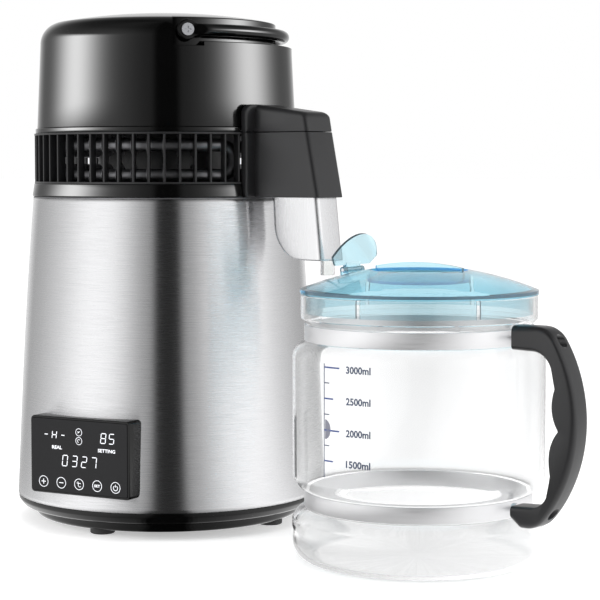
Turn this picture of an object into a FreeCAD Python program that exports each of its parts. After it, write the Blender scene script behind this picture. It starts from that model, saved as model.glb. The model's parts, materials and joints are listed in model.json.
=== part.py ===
import FreeCAD, Part
import math
import os
import re

import Sketcher
from FreeCAD import Placement, Rotation, Vector

# A worktop water distiller: a boiler with a touch panel, a lift-off head that holds the fan and the
# condenser, and a lidded glass jug beside it. Lengths are in millimetres, angles in degrees.
# The origin is the middle of the footprint on the worktop, +Z is up and +X runs from the
# distiller to its jug. Each sub-part is drawn about its own home axis and placed by its Placement.

DOCUMENT = FreeCAD.newDocument("water_distiller")
SHEET = DOCUMENT.addObject("Spreadsheet::Sheet", "Sizes")

SIZES = {
    # homes: the distiller's axis, its front, the bail's pivot line and the jug
    "axis_x": -130.15, "axis_y": 4.35, "front_turn": 11.5, "pivot_turn": -36.4,
    "jug_x": 245.7, "jug_y": -12.3, "jug_turn": 0, "lid_turn": 6,
    # clearances: past the face of a cut, and round a bore
    "cut_over": 1, "bore_play": 0.2,
    # base tray and feet
    "foot_high": 4, "foot_r": 9, "foot_reach": 89, "tray_foot_r": 100, "tray_step_z": 10,
    "tray_rim_r": 113, "tray_wall": 2.4, "tray_edge_r": 3, "tray_flare_r": 14, "tray_lip": 6,
    "tray_step": 1.5, "tray_rim_high": 3, "lip_set_back": 1.5, "lip_root": 2, "tray_post_high": 10,
    "base_screw_r": 2, "base_screw_reach": 60, "base_screw_head_r": 4, "base_screw_head_high": 2,
    "base_screw_long": 12,
    # outer shell
    "shell_foot_z": 20, "shell_top_z": 241.5, "shell_foot_r": 113.4, "shell_top_r": 100.3,
    "shell_wall": 0.8, "shell_bulge_r": 5150,
    # boiler pot and what is under it
    "pot_r": 92, "pot_floor_z": 60, "pot_wall": 0.8, "pot_corner_r": 8, "flange_r": 100.2,
    "heater_plate_r": 62, "heater_plate_high": 5, "element_ring_r": 46, "element_r": 4.2,
    "element_sweep": 325, "terminal_r": 3, "terminal_high": 16,
    "clamp_plate_r": 53, "clamp_plate_high": 1.2, "clamp_plate_z": 44.5, "stud_r": 3, "nut_r": 5.8,
    "nut_high": 4, "stud_end_z": 38, "cutout_r": 8, "cutout_high": 6, "cutout_reach": 24,
    "sensor_r": 4, "sensor_high": 18, "sensor_z": 72, "element_gap": 0.1, "element_top_z": 48,
    "notch_wide": 10, "notch_lead": 9, "notch_sweep": 53,
    # touch panel
    "panel_y": 117.7, "panel_back_y": 88.4, "window_deep": 30, "panel_wide": 85,
    "panel_foot_z": 31, "panel_top_z": 86.5,
    "panel_corner_r": 3, "lens_margin": 1.6, "lens_thick": 1.8, "bezel_step": 0.5,
    "panel_wall": 2.4, "circuit_thick": 1.6, "board_fit": 0.5, "window_margin": 8, "display_wide": 60,
    "display_high": 26, "display_thick": 4,
    # power board inside the base
    "power_wide": 70, "power_deep": 50, "power_z": 26, "relay_wide": 20, "relay_high": 8,
    "relay_inset": 4, "board_post_inset": 5, "board_post_r": 3,
    # mains inlet and fan outlet at the back
    "inlet_z": 44, "inlet_wide": 34, "inlet_high": 26, "inlet_face_y": 114, "inlet_back_y": 90,
    "inlet_hole_wide": 24.5, "inlet_hole_high": 16.7, "inlet_hole_deep": 17,
    "pin_thick": 2, "pin_wide": 4, "pin_gap": 7, "pin_short": 4.5,
    "outlet_z": 74, "outlet_wide": 18, "outlet_high": 12, "outlet_face_y": 112.5,
    "outlet_deep": 14, "contact_r": 2.6, "contact_gap": 4, "contact_deep": 9,
    "head_socket_z": 303, "head_socket_out": 1.2, "inlet_bend_r": 2, "key_bevel": 5,
    # head: lid plate, seal and rings
    "head_foot_z": 242.6, "ring_foot_r": 101, "ring_top_r": 99.6, "ring_top_z": 252,
    "plate_r": 97, "plate_drop_r": 86, "plate_drop_z": 238, "plate_z": 244.9, "plate_thick": 0.8,
    "seal_in_r": 87.5, "seal_out_r": 96, "seal_gap": 0.3, "ring_play": 0.6, "plate_gap": 0.2,
    "grille_r": 99.3, "grille_in_r": 92.2, "grille_top_z": 289, "grille_rail": 1.5,
    "rib_thick": 1.5, "rib_count": 52, "rib_sweep": 330.6, "rib_start": 14.7, "rib_inset": 0.3,
    "collar_r": 98.3, "collar_top_z": 292.6, "collar_step": 4, "head_in_r": 90, "window_play": 0.3,
    # head cap
    "cap_foot_r": 97, "cap_shoulder_r": 94.1, "cap_shoulder_z": 355.2, "cap_crown_r": 83.2,
    "cap_crown_z": 370.5, "cap_top_z": 378.3, "cap_bend_r": 16, "cap_dome_r": 442,
    "cap_wall": 2.2, "rebate_r": 82, "rebate_z": 353, "notch_z": 350, "notch_half": 6.8,
    "web_sweep": 2, "pivot_z": 361.4, "boss_r": 6, "boss_long": 12,
    # bail handle
    "bail_ring_r": 88, "bail_r": 4.3, "eye_r": 7.5, "eye_in_r": 84, "eye_thick": 4.5,
    "pivot_pin_r": 2, "pivot_fit": 0.06, "pivot_head_r": 4.4, "pivot_head_thick": 2.2,
    "cross_wide": 1.1, "cross_long": 4.6, "cross_deep": 1.2, "flat_long": 20, "bail_play": 0.3,
    "pin_set_back": 2,
    # fan
    "motor_r": 30, "motor_z": 319, "motor_high": 34, "bracket_z": 317, "bracket_thick": 2,
    "bracket_arm_wide": 16, "bracket_reach": 87, "bracket_hub_r": 34, "post_r": 4.5,
    "post_reach": 81, "bracket_screw_r": 1.5, "bracket_screw_head_r": 3.2, "shaft_r": 3,
    "shaft_foot_z": 296, "shaft_top_z": 345, "shaft_fit": 0.05, "fan_hub_r": 16, "fan_z": 297,
    "motor_round_r": 3, "shaft_end_gap": 1, "bracket_screw_long": 8, "bracket_screw_head_high": 1.8,
    "beam_lap": 1, "beam_high": 2, "blade_gap": 1, "blade_root": 1.5,
    "fan_high": 16, "blade_reach": 68, "blade_half": 16, "blade_thick": 1.6, "blade_count": 7,
    # condenser
    "coil_ring_r": 80, "coil_r": 4.75, "coil_bore_r": 4, "coil_low_z": 258, "coil_high_z": 280,
    "coil_turn_at": -18, "coil_high_end": 45, "coil_low_end": 3, "fin_r": 8.6,
    "fin_thick": 0.5, "fin_count": 36, "fin_sweep": 262, "fin_start": 65,
    "guide_foot_r": 54, "guide_top_r": 50, "guide_wall": 2, "guide_top_z": 289,
    "riser_reach": 62, "riser_r": 6, "riser_bore_r": 5,
    "outlet_r": 4.75, "outlet_bore_r": 4, "outlet_start_x": 74, "outlet_end_x": 124,
    "outlet_end_wall": 2, "riser_drop": 2, "fin_fit": 0.05,
    # spout
    "spout_half": 15, "spout_foot_x": 160, "spout_foot_z": 242.6, "seam_z": 288.8,
    "seam_gap": 0.3, "spout_seam_x": 150.3, "spout_top_x": 147.6, "spout_top_z": 302.5,
    "spout_root_z": 309, "spout_wall": 2.2, "spout_edge_r": 4, "cover_set_back": 0.1,
    "flange_in_r": 97.8, "flange_out_r": 103.6, "flange_half": 13.3, "window_half": 13.8,
    "cup_play": 0.3, "flange_lap": 1, "cover_slack": 1,
    # steel cup in the spout, and its nozzle
    "cup_half": 12.5, "cup_in_x": 114, "cup_knee_x": 115.6, "cup_knee_z": 224,
    "cup_floor_x": 141, "cup_floor_z": 198.3, "cup_out_x": 161.5, "cup_top_x": 155.4,
    "cup_top_z": 252, "cup_bend_r": 25.7, "cup_wall": 0.8, "cup_edge_r": 4, "cup_lip": 1.1,
    "nozzle_x": 156.5, "nozzle_r": 5, "nozzle_bore_r": 3.8, "nozzle_foot_z": 188,
    # jug glass
    "glass_wall": 2.4, "jug_r": 85, "jug_foot_r": 71, "jug_foot_bend": 14, "jug_base_z": 28,
    "waist_r": 76, "low_waist_z": 36, "low_waist_top_z": 48, "body_foot_z": 58,
    "body_top_z": 138, "high_waist_z": 148, "high_waist_top_z": 160, "neck_r": 79.5,
    "neck_foot_z": 163.5, "neck_top_z": 179, "shoulder_bend": 11.5,
    # jug bands and handle
    "band_gap": 0.15, "band_thick": 0.8, "low_band_z": 36.8, "high_band_z": 148.3,
    "band_high": 10.8, "boss_in_x": 76.5, "boss_out_x": 80, "band_boss_r": 4,
    "handle_half": 9, "handle_in_x": 80.2, "root_grip_z": 147, "root_rest_z": 45.5,
    "root_foot_z": 37, "sole_in_x": 86.5, "back_x": 31.4, "back_z": 101.7, "back_r": 96.6,
    "shoulder_turn": 33.5, "shoulder_r": 17, "heel_turn": -41.3, "heel_r": 18, "throat_x": 97,
    "throat_top_z": 146.5, "throat_foot_z": 46.5, "throat_r": 16, "grip_top_x": 110.5,
    "grip_top_z": 133, "ridge_high_x": 112.3, "ridge_high_z": 122.7, "ridge_mid_x": 114.8,
    "ridge_mid_z": 96.9, "ridge_low_x": 110, "ridge_low_z": 70.5, "grip_foot_x": 109.3,
    "grip_foot_z": 62.9, "hollow_r": 25, "handle_round_r": 4,
    "sink_long": 50, "screw_bore_r": 2.1, "screw_sink_r": 4.2, "screw_sink_x": 98, "handle_screw_r": 2,
    "handle_screw_head_r": 3.6, "handle_screw_head_long": 2.6,
    # jug lid
    "lid_r": 80, "lid_foot_z": 179.6, "lid_rim_z": 182.4, "lid_dome_r": 235, "lid_wall": 2,
    "skirt_r": 76.4, "skirt_thick": 1.6, "skirt_foot_z": 167, "well_r": 33, "well_z": 185,
    "well_edge_z": 195.3, "fin_half": 1.3, "fin_top_z": 197.4,
    "fin_lap": 0.5, "skirt_root": 0.4, "port_in_x": 55, "port_step": 6, "port_half": 20,
    "port_r": 24, "slot_wide": 3,
    "slot_high": 12, "slot_count": 6, "slot_start": 30, "crest_r": 180,
    # pouring flap
    "hinge_x": 53, "hinge_z": 194.1, "flap_open": 113, "flap_half": 28, "flap_long": 26,
    "flap_thick": 1.6, "flap_drop": 1, "flap_root": 3, "flap_bend_r": 31.6, "flap_corner": 6,
    "flap_knuckle_r": 2.2, "hinge_pin_r": 1.1, "hinge_fit": 0.06, "knuckle_half": 9,
    "ear_thick": 3, "ear_gap": 0.4, "ear_out": 1.8, "ear_in": 6, "ear_drop": 6,
}

# A home is where a sub-part's own axis stands: the aliases of its x, its y and its turn about Z.
HOMES = {
    "spout": ("axis_x", "axis_y", "0"),
    "front": ("axis_x", "axis_y", "front_turn"),
    "pivot": ("axis_x", "axis_y", "pivot_turn"),
    "jug": ("axis_x + jug_x", "axis_y + jug_y", "jug_turn"),
    "lid": ("axis_x + jug_x", "axis_y + jug_y", "lid_turn"),
}

FULL_TURN = 360
PARTS = []


def fill_sheet():
    """Every size gets a row: its name, its value and the alias that the formulas use."""
    for row, (alias, number) in enumerate(SIZES.items(), start=1):
        SHEET.set(f"A{row}", alias)
        SHEET.set(f"B{row}", str(number))
        SHEET.setAlias(f"B{row}", alias)
    DOCUMENT.recompute()


def linked(formula):
    """The formula with each alias pointing at its cell in the sheet."""
    return re.sub(r"[a-z][a-z_]*", lambda word: "Sizes." + word[0] if word[0] in SIZES else word[0],
                  str(formula))


def value(formula):
    return float(SHEET.evalExpression(linked(formula)))


def settle(made, home, label):
    """Give a finished sub-part its name and stand it on its home axis."""
    made.Label = label
    x, y, turn = HOMES[home]
    made.Placement = Placement(Vector(), Rotation(Vector(0, 0, 1), 1))
    made.setExpression(".Placement.Base.x", linked(x))
    made.setExpression(".Placement.Base.y", linked(y))
    made.setExpression(".Placement.Rotation.Angle", linked(turn))
    PARTS.append(made)
    return made


def new_body(label, home):
    made = DOCUMENT.addObject("PartDesign::Body", label)
    made.AllowCompound = True
    return settle(made, home, label)


def new_sketch(owner, plane, offset="0", start="0"):
    """A sketch on an origin plane, moved along its normal by offset and turned about Z by start.

    The normals are +Z for XY, -Y for XZ and +X for YZ.
    """
    made = owner.newObject("Sketcher::SketchObject", owner.Label + "_outline")
    origin = [item for item in owner.Origin.OriginFeatures if item.Role == plane + "_Plane"]
    made.AttachmentSupport = [(origin[0], "")]
    made.MapMode = "FlatFace"
    if start != "0":
        made.AttachmentOffset = Placement(Vector(), Rotation(Vector(0, 1, 0), 1))
        made.setExpression(".AttachmentOffset.Rotation.Angle", linked(start))
    made.setExpression(".AttachmentOffset.Base.z", linked(offset))
    return made


def drive(made, constraint, formula):
    """Add a constraint and bind it to its formula."""
    index = made.addConstraint(constraint)
    made.setExpression(f"Constraints[{index}]", linked(formula))


def arc_centre(start, end, radius):
    """The centre of an arc between two points: on the left of the way when the radius is positive."""
    chord = end - start
    left = Vector(-chord.y, chord.x, 0).normalize()
    reach = math.sqrt(radius ** 2 - (chord.Length / 2) ** 2)
    return (start + end) * 0.5 + left * math.copysign(reach, radius), left


def arc_middle(corners, index):
    """The middle of the arc that leaves a corner of an outline."""
    start, end = [Vector(value(corner[0]), value(corner[1]), 0)
                  for corner in (corners[index], corners[(index + 1) % len(corners)])]
    radius = value(corners[index][2])
    centre, left = arc_centre(start, end, radius)
    middle = centre - left * radius
    return middle.x, middle.y


def draw_outline(made, corners):
    """Draw a closed outline through corners (x, y) or (x, y, radius).

    A radius bends the edge that leaves its corner: centre on the left when positive, on the right
    when negative.
    """
    first = made.GeometryCount
    points = [Vector(value(corner[0]), value(corner[1]), 0) for corner in corners]
    ends = []
    for index, corner in enumerate(corners):
        start, end = points[index], points[(index + 1) % len(points)]
        if len(corner) == 2:
            made.addGeometry(Part.LineSegment(start, end), False)
            ends.append((1, 2))
            continue
        radius = value(corner[2])
        centre, left = arc_centre(start, end, radius)
        middle = centre - left * radius
        made.addGeometry(Part.Arc(start, middle, end), False)
        ends.append((1, 2) if radius > 0 else (2, 1))
    for index, corner in enumerate(corners):
        line, following = first + index, first + (index + 1) % len(corners)
        made.addConstraint(Sketcher.Constraint(
            "Coincident", line, ends[index][1], following, ends[(index + 1) % len(corners)][0]))
        if len(corner) > 2:
            size = abs(value(corner[2]))
            drive(made, Sketcher.Constraint("Radius", line, size), f"abs({corner[2]})")
    for index, (corner, point) in enumerate(zip(corners, points)):
        line, end = first + index, ends[index][0]
        drive(made, Sketcher.Constraint("DistanceX", -1, 1, line, end, point.x), corner[0])
        drive(made, Sketcher.Constraint("DistanceY", -1, 1, line, end, point.y), corner[1])


def draw_circle(made, x, y, radius):
    centre = Vector(value(x), value(y), 0)
    index = made.addGeometry(Part.Circle(centre, Vector(0, 0, 1), value(radius)), False)
    drive(made, Sketcher.Constraint("Radius", index, value(radius)), radius)
    drive(made, Sketcher.Constraint("DistanceX", -1, 1, index, 3, centre.x), x)
    drive(made, Sketcher.Constraint("DistanceY", -1, 1, index, 3, centre.y), y)


def box_corners(low_x, low_y, high_x, high_y):
    return [(low_x, low_y), (high_x, low_y), (high_x, high_y), (low_x, high_y)]


def add_feature(owner, kind, made, settings, cuts):
    """Add a feature on a sketch and make sure that it adds or removes material."""
    before = owner.Shape.Volume if owner.Tip else 0
    feature = owner.newObject("PartDesign::" + kind, f"{owner.Label}_{kind.lower()}")
    feature.Profile = made
    for key, setting in settings.items():
        if isinstance(setting, str):
            feature.setExpression(key, linked(setting))
        else:
            setattr(feature, key, setting)
    DOCUMENT.recompute()
    change = owner.Shape.Volume - before
    if (change >= 0) if cuts else (change <= 0):
        raise ValueError(f"{feature.Label} changes nothing")
    return feature


def revolve(owner, corners, start="0", sweep="360", cuts=False):
    """Turn an outline of (radius, height) corners about the Z axis, from start through sweep."""
    made = new_sketch(owner, "XZ", start=start)
    draw_outline(made, corners)
    settings = {"ReferenceAxis": (made, ["V_Axis"]), "Angle": sweep}
    return add_feature(owner, "Groove" if cuts else "Revolution", made, settings, cuts)


def extrude(owner, plane, offset, long, corners=(), circles=(), cuts=False):
    """Carry outlines and circles along a plane's normal, from offset on for a length."""
    made = new_sketch(owner, plane, offset)
    if corners:
        draw_outline(made, corners)
    for circle in circles:
        draw_circle(made, *circle)
    settings = {"Length": long}
    if cuts:
        settings["Reversed"] = True
    return add_feature(owner, "Pocket" if cuts else "Pad", made, settings, cuts)


def repeat(owner, feature, count, sweep="360"):
    """Repeat a feature about the Z axis."""
    pattern = owner.newObject("PartDesign::PolarPattern", owner.Label + "_pattern")
    pattern.Originals = [feature]
    axis = [item for item in owner.Origin.OriginFeatures if item.Role == "Z_Axis"]
    pattern.Axis = (axis[0], [""])
    pattern.setExpression("Angle", linked(sweep))
    pattern.setExpression("Occurrences", linked(count))
    owner.Tip = pattern
    DOCUMENT.recompute()
    return pattern


def round_edges(owner, radius, points):
    """Round the edges of a body that pass through the given points."""
    reach = 0.05
    base = owner.Tip
    spots = [Part.Vertex(*[value(number) for number in point]) for point in points]
    edges = [f"Edge{index}" for index, edge in enumerate(base.Shape.Edges, start=1)
             if any(spot.distToShape(edge)[0] < reach for spot in spots)]
    if len(edges) < len(points):
        raise ValueError(f"{owner.Label} has no edge at some of {points}")
    feature = owner.newObject("PartDesign::Fillet", owner.Label + "_fillet")
    feature.Base = (base, edges)
    feature.setExpression("Radius", linked(radius))
    owner.Tip = feature
    DOCUMENT.recompute()
    if "Invalid" in feature.State:
        raise ValueError(f"{feature.Label} failed: {feature.getStatusString()}")
    return feature


def primitive(kind, sizes, at=("0", "0", "0"), axis=(0, 0, 1), turn=0):
    """A Part primitive with its sizes and its place bound to the sheet."""
    made = DOCUMENT.addObject("Part::" + kind, kind)
    for key, formula in sizes.items():
        made.setExpression(key, linked(formula))
    made.Placement = Placement(Vector(), Rotation(Vector(*axis), turn))
    for key, formula in zip("xyz", at):
        made.setExpression(".Placement.Base." + key, linked(formula))
    return made


def joined(shapes):
    made = DOCUMENT.addObject("Part::MultiFuse", "joined")
    made.Shapes = shapes
    return made


def minus(base, tool):
    made = DOCUMENT.addObject("Part::Cut", "minus")
    made.Base = base
    made.Tool = tool
    return made


# ---------------------------------------------------------------- boiler


def make_base():
    tray = new_body("base_tray", "front")
    lip_out, lip_in = "shell_foot_r - lip_set_back", "shell_foot_r - lip_set_back - tray_wall"
    revolve(tray, [
        ("0", "foot_high"), ("tray_foot_r - tray_edge_r", "foot_high", "tray_edge_r"),
        ("tray_foot_r", "foot_high + tray_edge_r"), ("tray_foot_r", "tray_step_z"),
        ("tray_foot_r + tray_step", "tray_step_z", "tray_flare_r"),
        ("tray_rim_r", "shell_foot_z - tray_rim_high"), ("tray_rim_r", "shell_foot_z"),
        (lip_out, "shell_foot_z"), (lip_out, "shell_foot_z + tray_lip"),
        (lip_in, "shell_foot_z + tray_lip"), (lip_in, "shell_foot_z - lip_root"),
        ("tray_foot_r - tray_wall", "tray_step_z + tray_wall"),
        ("tray_foot_r - tray_wall", "foot_high + tray_wall"), ("0", "foot_high + tray_wall")])
    hole = extrude(tray, "XY", "foot_high", "tray_wall",
                   circles=[("base_screw_reach", "0", "base_screw_r + bore_play")], cuts=True)
    repeat(tray, hole, "4")

    feet = new_body("rubber_feet", "front")
    foot = extrude(feet, "XY", "0", "foot_high", circles=[("0", "-foot_reach", "foot_r")])
    repeat(feet, foot, "4")

    screws = new_body("base_screws", "front")
    screw = revolve_at(screws, "base_screw_reach", [
        ("0", "foot_high - base_screw_head_high"),
        ("base_screw_head_r", "foot_high - base_screw_head_high"),
        ("base_screw_head_r", "foot_high"), ("base_screw_r", "foot_high"),
        ("base_screw_r", "foot_high + base_screw_long"), ("0", "foot_high + base_screw_long")])
    repeat(screws, screw, "4")

    posts = new_body("tray_posts", "front")
    post = extrude(posts, "XY", "foot_high + tray_wall", "tray_post_high", circles=[
        ("base_screw_reach", "0", "base_screw_head_r"), ("base_screw_reach", "0", "base_screw_r")])
    repeat(posts, post, "4")


def revolve_at(owner, reach, corners):
    """Turn an outline of (radius, height) corners about an upright line at (reach, 0)."""
    made = new_sketch(owner, "XZ")
    draw_outline(made, [(f"{reach} + {corner[0]}", *corner[1:]) for corner in corners])
    longest = made.GeometryCount - 1
    settings = {"ReferenceAxis": (made, [f"Edge{longest + 1}"]), "Angle": "360"}
    return add_feature(owner, "Revolution", made, settings, False)


def port_corners(part, middle_z):
    """The outline of a socket about its middle height."""
    wide, high = f"{part}_wide / 2", f"{part}_high / 2"
    return box_corners(f"-{wide}", f"{middle_z} - {high}", wide, f"{middle_z} + {high}")


def make_shell():
    shell = new_body("outer_shell", "front")
    inside = "shell_bulge_r - shell_wall"
    revolve(shell, [
        ("shell_foot_r", "shell_foot_z", "shell_bulge_r"), ("shell_top_r", "shell_top_z"),
        ("shell_top_r - shell_wall", "shell_top_z", f"-({inside})"),
        ("shell_foot_r - shell_wall", "shell_foot_z")])
    half, edge = "(panel_wide / 2 - lens_margin - panel_wall)", "lens_margin + panel_wall"
    extrude(shell, "XZ", "panel_back_y", "window_deep", cuts=True, corners=box_corners(
        f"-{half}", f"panel_foot_z + {edge}", half, f"panel_top_z - ({edge})"))
    for part in ("inlet", "outlet"):
        extrude(shell, "XZ", "-panel_back_y - window_deep", "window_deep", cuts=True,
                corners=port_corners(part, f"{part}_z"))


def make_pot():
    """A rolled wall with a flange on top, welded to a dished base where the corner round ends."""
    inner, seam_z = "pot_r - pot_wall", "pot_floor_z + pot_corner_r"
    wall = new_body("boiler_pot", "front")
    revolve(wall, [
        (inner, seam_z), ("pot_r", seam_z), ("pot_r", "shell_top_z"), ("flange_r", "shell_top_z"),
        ("flange_r", "shell_top_z + pot_wall"), (inner, "shell_top_z + pot_wall")])
    base = new_body("pot_base", "front")
    revolve(base, [
        ("0", "pot_floor_z"), ("pot_r - pot_corner_r", "pot_floor_z", "pot_corner_r"),
        ("pot_r", seam_z), (inner, seam_z, "-(pot_corner_r - pot_wall)"),
        ("pot_r - pot_corner_r", "pot_floor_z + pot_wall"), ("0", "pot_floor_z + pot_wall")])


def make_heater():
    under = "pot_floor_z - heater_plate_high"
    plate = new_body("heater_plate", "front")
    extrude(plate, "XY", under, "heater_plate_high",
            circles=[("0", "0", "heater_plate_r"), ("0", "0", "stud_r + bore_play")])

    ring_z = f"{under} - element_r - element_gap"
    ring = primitive("Torus", {"Radius1": "element_ring_r", "Radius2": "element_r",
                               "Angle3": "element_sweep"}, ("0", "0", ring_z))
    ends = [value("element_sweep"), 0]
    rods = []
    for turn in ends:
        across, along = math.cos(math.radians(turn)), math.sin(math.radians(turn))
        rods.append(primitive("Cylinder", {"Radius": "terminal_r", "Height": "terminal_high"}, (
            f"element_ring_r * {across}", f"element_ring_r * {along}", f"{ring_z} - terminal_high")))
    settle(joined([ring] + rods), "front", "heating_element")

    clamp = new_body("clamp_plate", "front")
    extrude(clamp, "XY", "clamp_plate_z", "clamp_plate_high",
            circles=[("0", "0", "clamp_plate_r"), ("0", "0", "stud_r + bore_play")])
    revolve(clamp, box_corners("element_ring_r - notch_wide / 2", "clamp_plate_z - cut_over",
                               "element_ring_r + notch_wide / 2", "element_top_z"),
            start="element_sweep - notch_lead", sweep="notch_sweep", cuts=True)

    stud = new_body("clamp_stud", "front")
    extrude(stud, "XY", "stud_end_z", "pot_floor_z - stud_end_z", circles=[("0", "0", "stud_r")])

    nut = new_body("clamp_nut", "front")
    corners = []
    for index in range(6):
        turn = math.radians(60 * index)
        corners.append((f"nut_r * {math.cos(turn)}", f"nut_r * {math.sin(turn)}"))
    extrude(nut, "XY", "clamp_plate_z - nut_high", "nut_high", corners=corners,
            circles=[("0", "0", "stud_r")])

    cutouts = new_body("thermal_cutouts", "front")
    button = extrude(cutouts, "XY", f"{under} - cutout_high", "cutout_high",
                     circles=[("cutout_reach", "0", "cutout_r")])
    repeat(cutouts, button, "2")

    sensor = new_body("temp_sensor", "front")
    extrude(sensor, "XY", "sensor_z", "sensor_high",
            circles=[("0", "-(pot_r + sensor_r)", "sensor_r")])


def make_panel():
    housing = new_body("control_housing", "front")
    edge = "panel_wide / 2"
    extrude(housing, "XZ", "panel_back_y", "panel_y - bezel_step - panel_back_y",
            corners=box_corners(f"-{edge}", "panel_foot_z", edge, "panel_top_z"))
    middle_y = "-(panel_y + panel_back_y) / 2"
    round_edges(housing, "panel_corner_r", [
        (f"-{edge}", middle_y, "panel_foot_z"), (edge, middle_y, "panel_foot_z"),
        (edge, middle_y, "panel_top_z"), (f"-{edge}", middle_y, "panel_top_z")])
    revolve(housing, [
        ("0", "shell_foot_z"), ("shell_foot_r", "shell_foot_z", "shell_bulge_r"),
        ("shell_top_r", "shell_top_z"), ("0", "shell_top_z")], cuts=True)
    lens_edge = f"({edge} - lens_margin)"
    lens_box = box_corners(f"-{lens_edge}", "panel_foot_z + lens_margin",
                           lens_edge, "panel_top_z - lens_margin")
    extrude(housing, "XZ", "panel_y - lens_thick", "lens_thick", corners=lens_box, cuts=True)
    inner = f"({edge} - lens_margin - panel_wall)"
    extrude(housing, "XZ", "panel_back_y", "panel_y - lens_thick - panel_back_y",
            cuts=True, corners=box_corners(
                f"-{inner}", "panel_foot_z + lens_margin + panel_wall",
                inner, "panel_top_z - lens_margin - panel_wall"))

    lens = new_body("control_lens", "front")
    extrude(lens, "XZ", "panel_y - lens_thick", "lens_thick", corners=lens_box)

    board = new_body("control_board", "front")
    board_edge = f"({inner} - board_fit)"
    board_y = "panel_y - lens_thick - display_thick - circuit_thick - board_fit"
    extrude(board, "XZ", board_y, "circuit_thick", corners=box_corners(
        f"-{board_edge}", "panel_foot_z + lens_margin + panel_wall + board_fit",
        board_edge, "panel_top_z - lens_margin - panel_wall - board_fit"))

    display = new_body("display_module", "front")
    extrude(display, "XZ", f"{board_y} + circuit_thick", "display_thick", corners=box_corners(
        "-display_wide / 2", "panel_top_z - window_margin - display_high",
        "display_wide / 2", "panel_top_z - window_margin"))


def make_electrics():
    board = new_body("power_board", "front")
    extrude(board, "XY", "power_z", "circuit_thick", corners=box_corners(
        "-power_wide / 2", "-power_deep / 2", "power_wide / 2", "power_deep / 2"))
    relay_x = "(-power_wide / 2 + relay_inset)"
    extrude(board, "XY", "power_z + circuit_thick", "relay_high", corners=box_corners(
        relay_x, "-relay_wide / 2", f"{relay_x} + relay_wide", "relay_wide / 2"))
    posts = new_body("board_posts", "front")
    post = extrude(posts, "XY", "foot_high + tray_wall", "power_z - foot_high - tray_wall", circles=[
        ("power_wide / 2 - board_post_inset", "power_deep / 2 - board_post_inset", "board_post_r")])
    repeat(posts, post, "2")

    inlet = new_body("inlet_socket", "front")
    extrude(inlet, "XZ", "-inlet_face_y", "inlet_face_y - inlet_back_y",
            corners=port_corners("inlet", "inlet_z"))
    round_edges(inlet, "inlet_bend_r", [
        (f"{side} * inlet_wide / 2", "(inlet_face_y + inlet_back_y) / 2",
         f"inlet_z + {up} * inlet_high / 2") for side in (-1, 1) for up in (-1, 1)])
    half, high = "inlet_hole_wide / 2", "inlet_hole_high / 2"
    extrude(inlet, "XZ", "-inlet_face_y", "inlet_hole_deep", cuts=True, corners=[
        (f"-{half}", f"inlet_z - {high}"), (half, f"inlet_z - {high}"),
        (half, f"inlet_z + {high} - key_bevel"), (f"{half} - key_bevel", f"inlet_z + {high}"),
        (f"-{half} + key_bevel", f"inlet_z + {high}"), (f"-{half}", f"inlet_z + {high} - key_bevel")])

    pins = new_body("inlet_pins", "front")
    for across, up in (("-pin_gap", "0"), ("pin_gap", "0"), ("0", "pin_wide")):
        extrude(pins, "XZ", "-inlet_face_y + pin_short", "inlet_hole_deep - pin_short",
                corners=box_corners(f"{across} - pin_thick / 2", f"inlet_z + {up} - pin_wide / 2",
                                    f"{across} + pin_thick / 2", f"inlet_z + {up} + pin_wide / 2"))

    make_fan_socket("fan_outlet", "-outlet_face_y", "outlet_z")


def make_fan_socket(label, face, middle_z):
    """A small block with two round contact holes, one end of the fan's plug-in lead."""
    socket = new_body(label, "front")
    extrude(socket, "XZ", face, "outlet_deep", corners=port_corners("outlet", middle_z))
    extrude(socket, "XZ", face, "contact_deep", cuts=True, circles=[
        (side, middle_z, "contact_r") for side in ("-contact_gap", "contact_gap")])


# ---------------------------------------------------------------- head


def cut_window(owner, low, high, inner="flange_in_r - window_play"):
    """Leave the place of the spout's flange open in a ring of the head."""
    revolve(owner, box_corners(inner, f"{low} - cut_over", "flange_out_r", f"{high} + cut_over"),
            start="-window_half", sweep="2 * window_half", cuts=True)


def make_lid():
    plate = new_body("lid_plate", "spout")
    drop = "plate_drop_r + plate_thick"
    revolve(plate, [
        ("0", "plate_drop_z"), (drop, "plate_drop_z"), (drop, "plate_z"), ("plate_r", "plate_z"),
        ("plate_r", "plate_z + plate_thick"), ("plate_drop_r", "plate_z + plate_thick"),
        ("plate_drop_r", "plate_drop_z + plate_thick"), ("0", "plate_drop_z + plate_thick")])
    at = value("coil_high_end")
    across, along = math.cos(math.radians(at)), math.sin(math.radians(at))
    extrude(plate, "XY", "plate_drop_z - cut_over", "plate_thick + 2 * cut_over", cuts=True, circles=[
        (f"riser_reach * {across}", f"riser_reach * {along}", "riser_r")])

    seal = new_body("lid_seal", "spout")
    revolve(seal, box_corners("seal_in_r", "shell_top_z + pot_wall + seal_gap",
                              "seal_out_r", "plate_z"))


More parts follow.
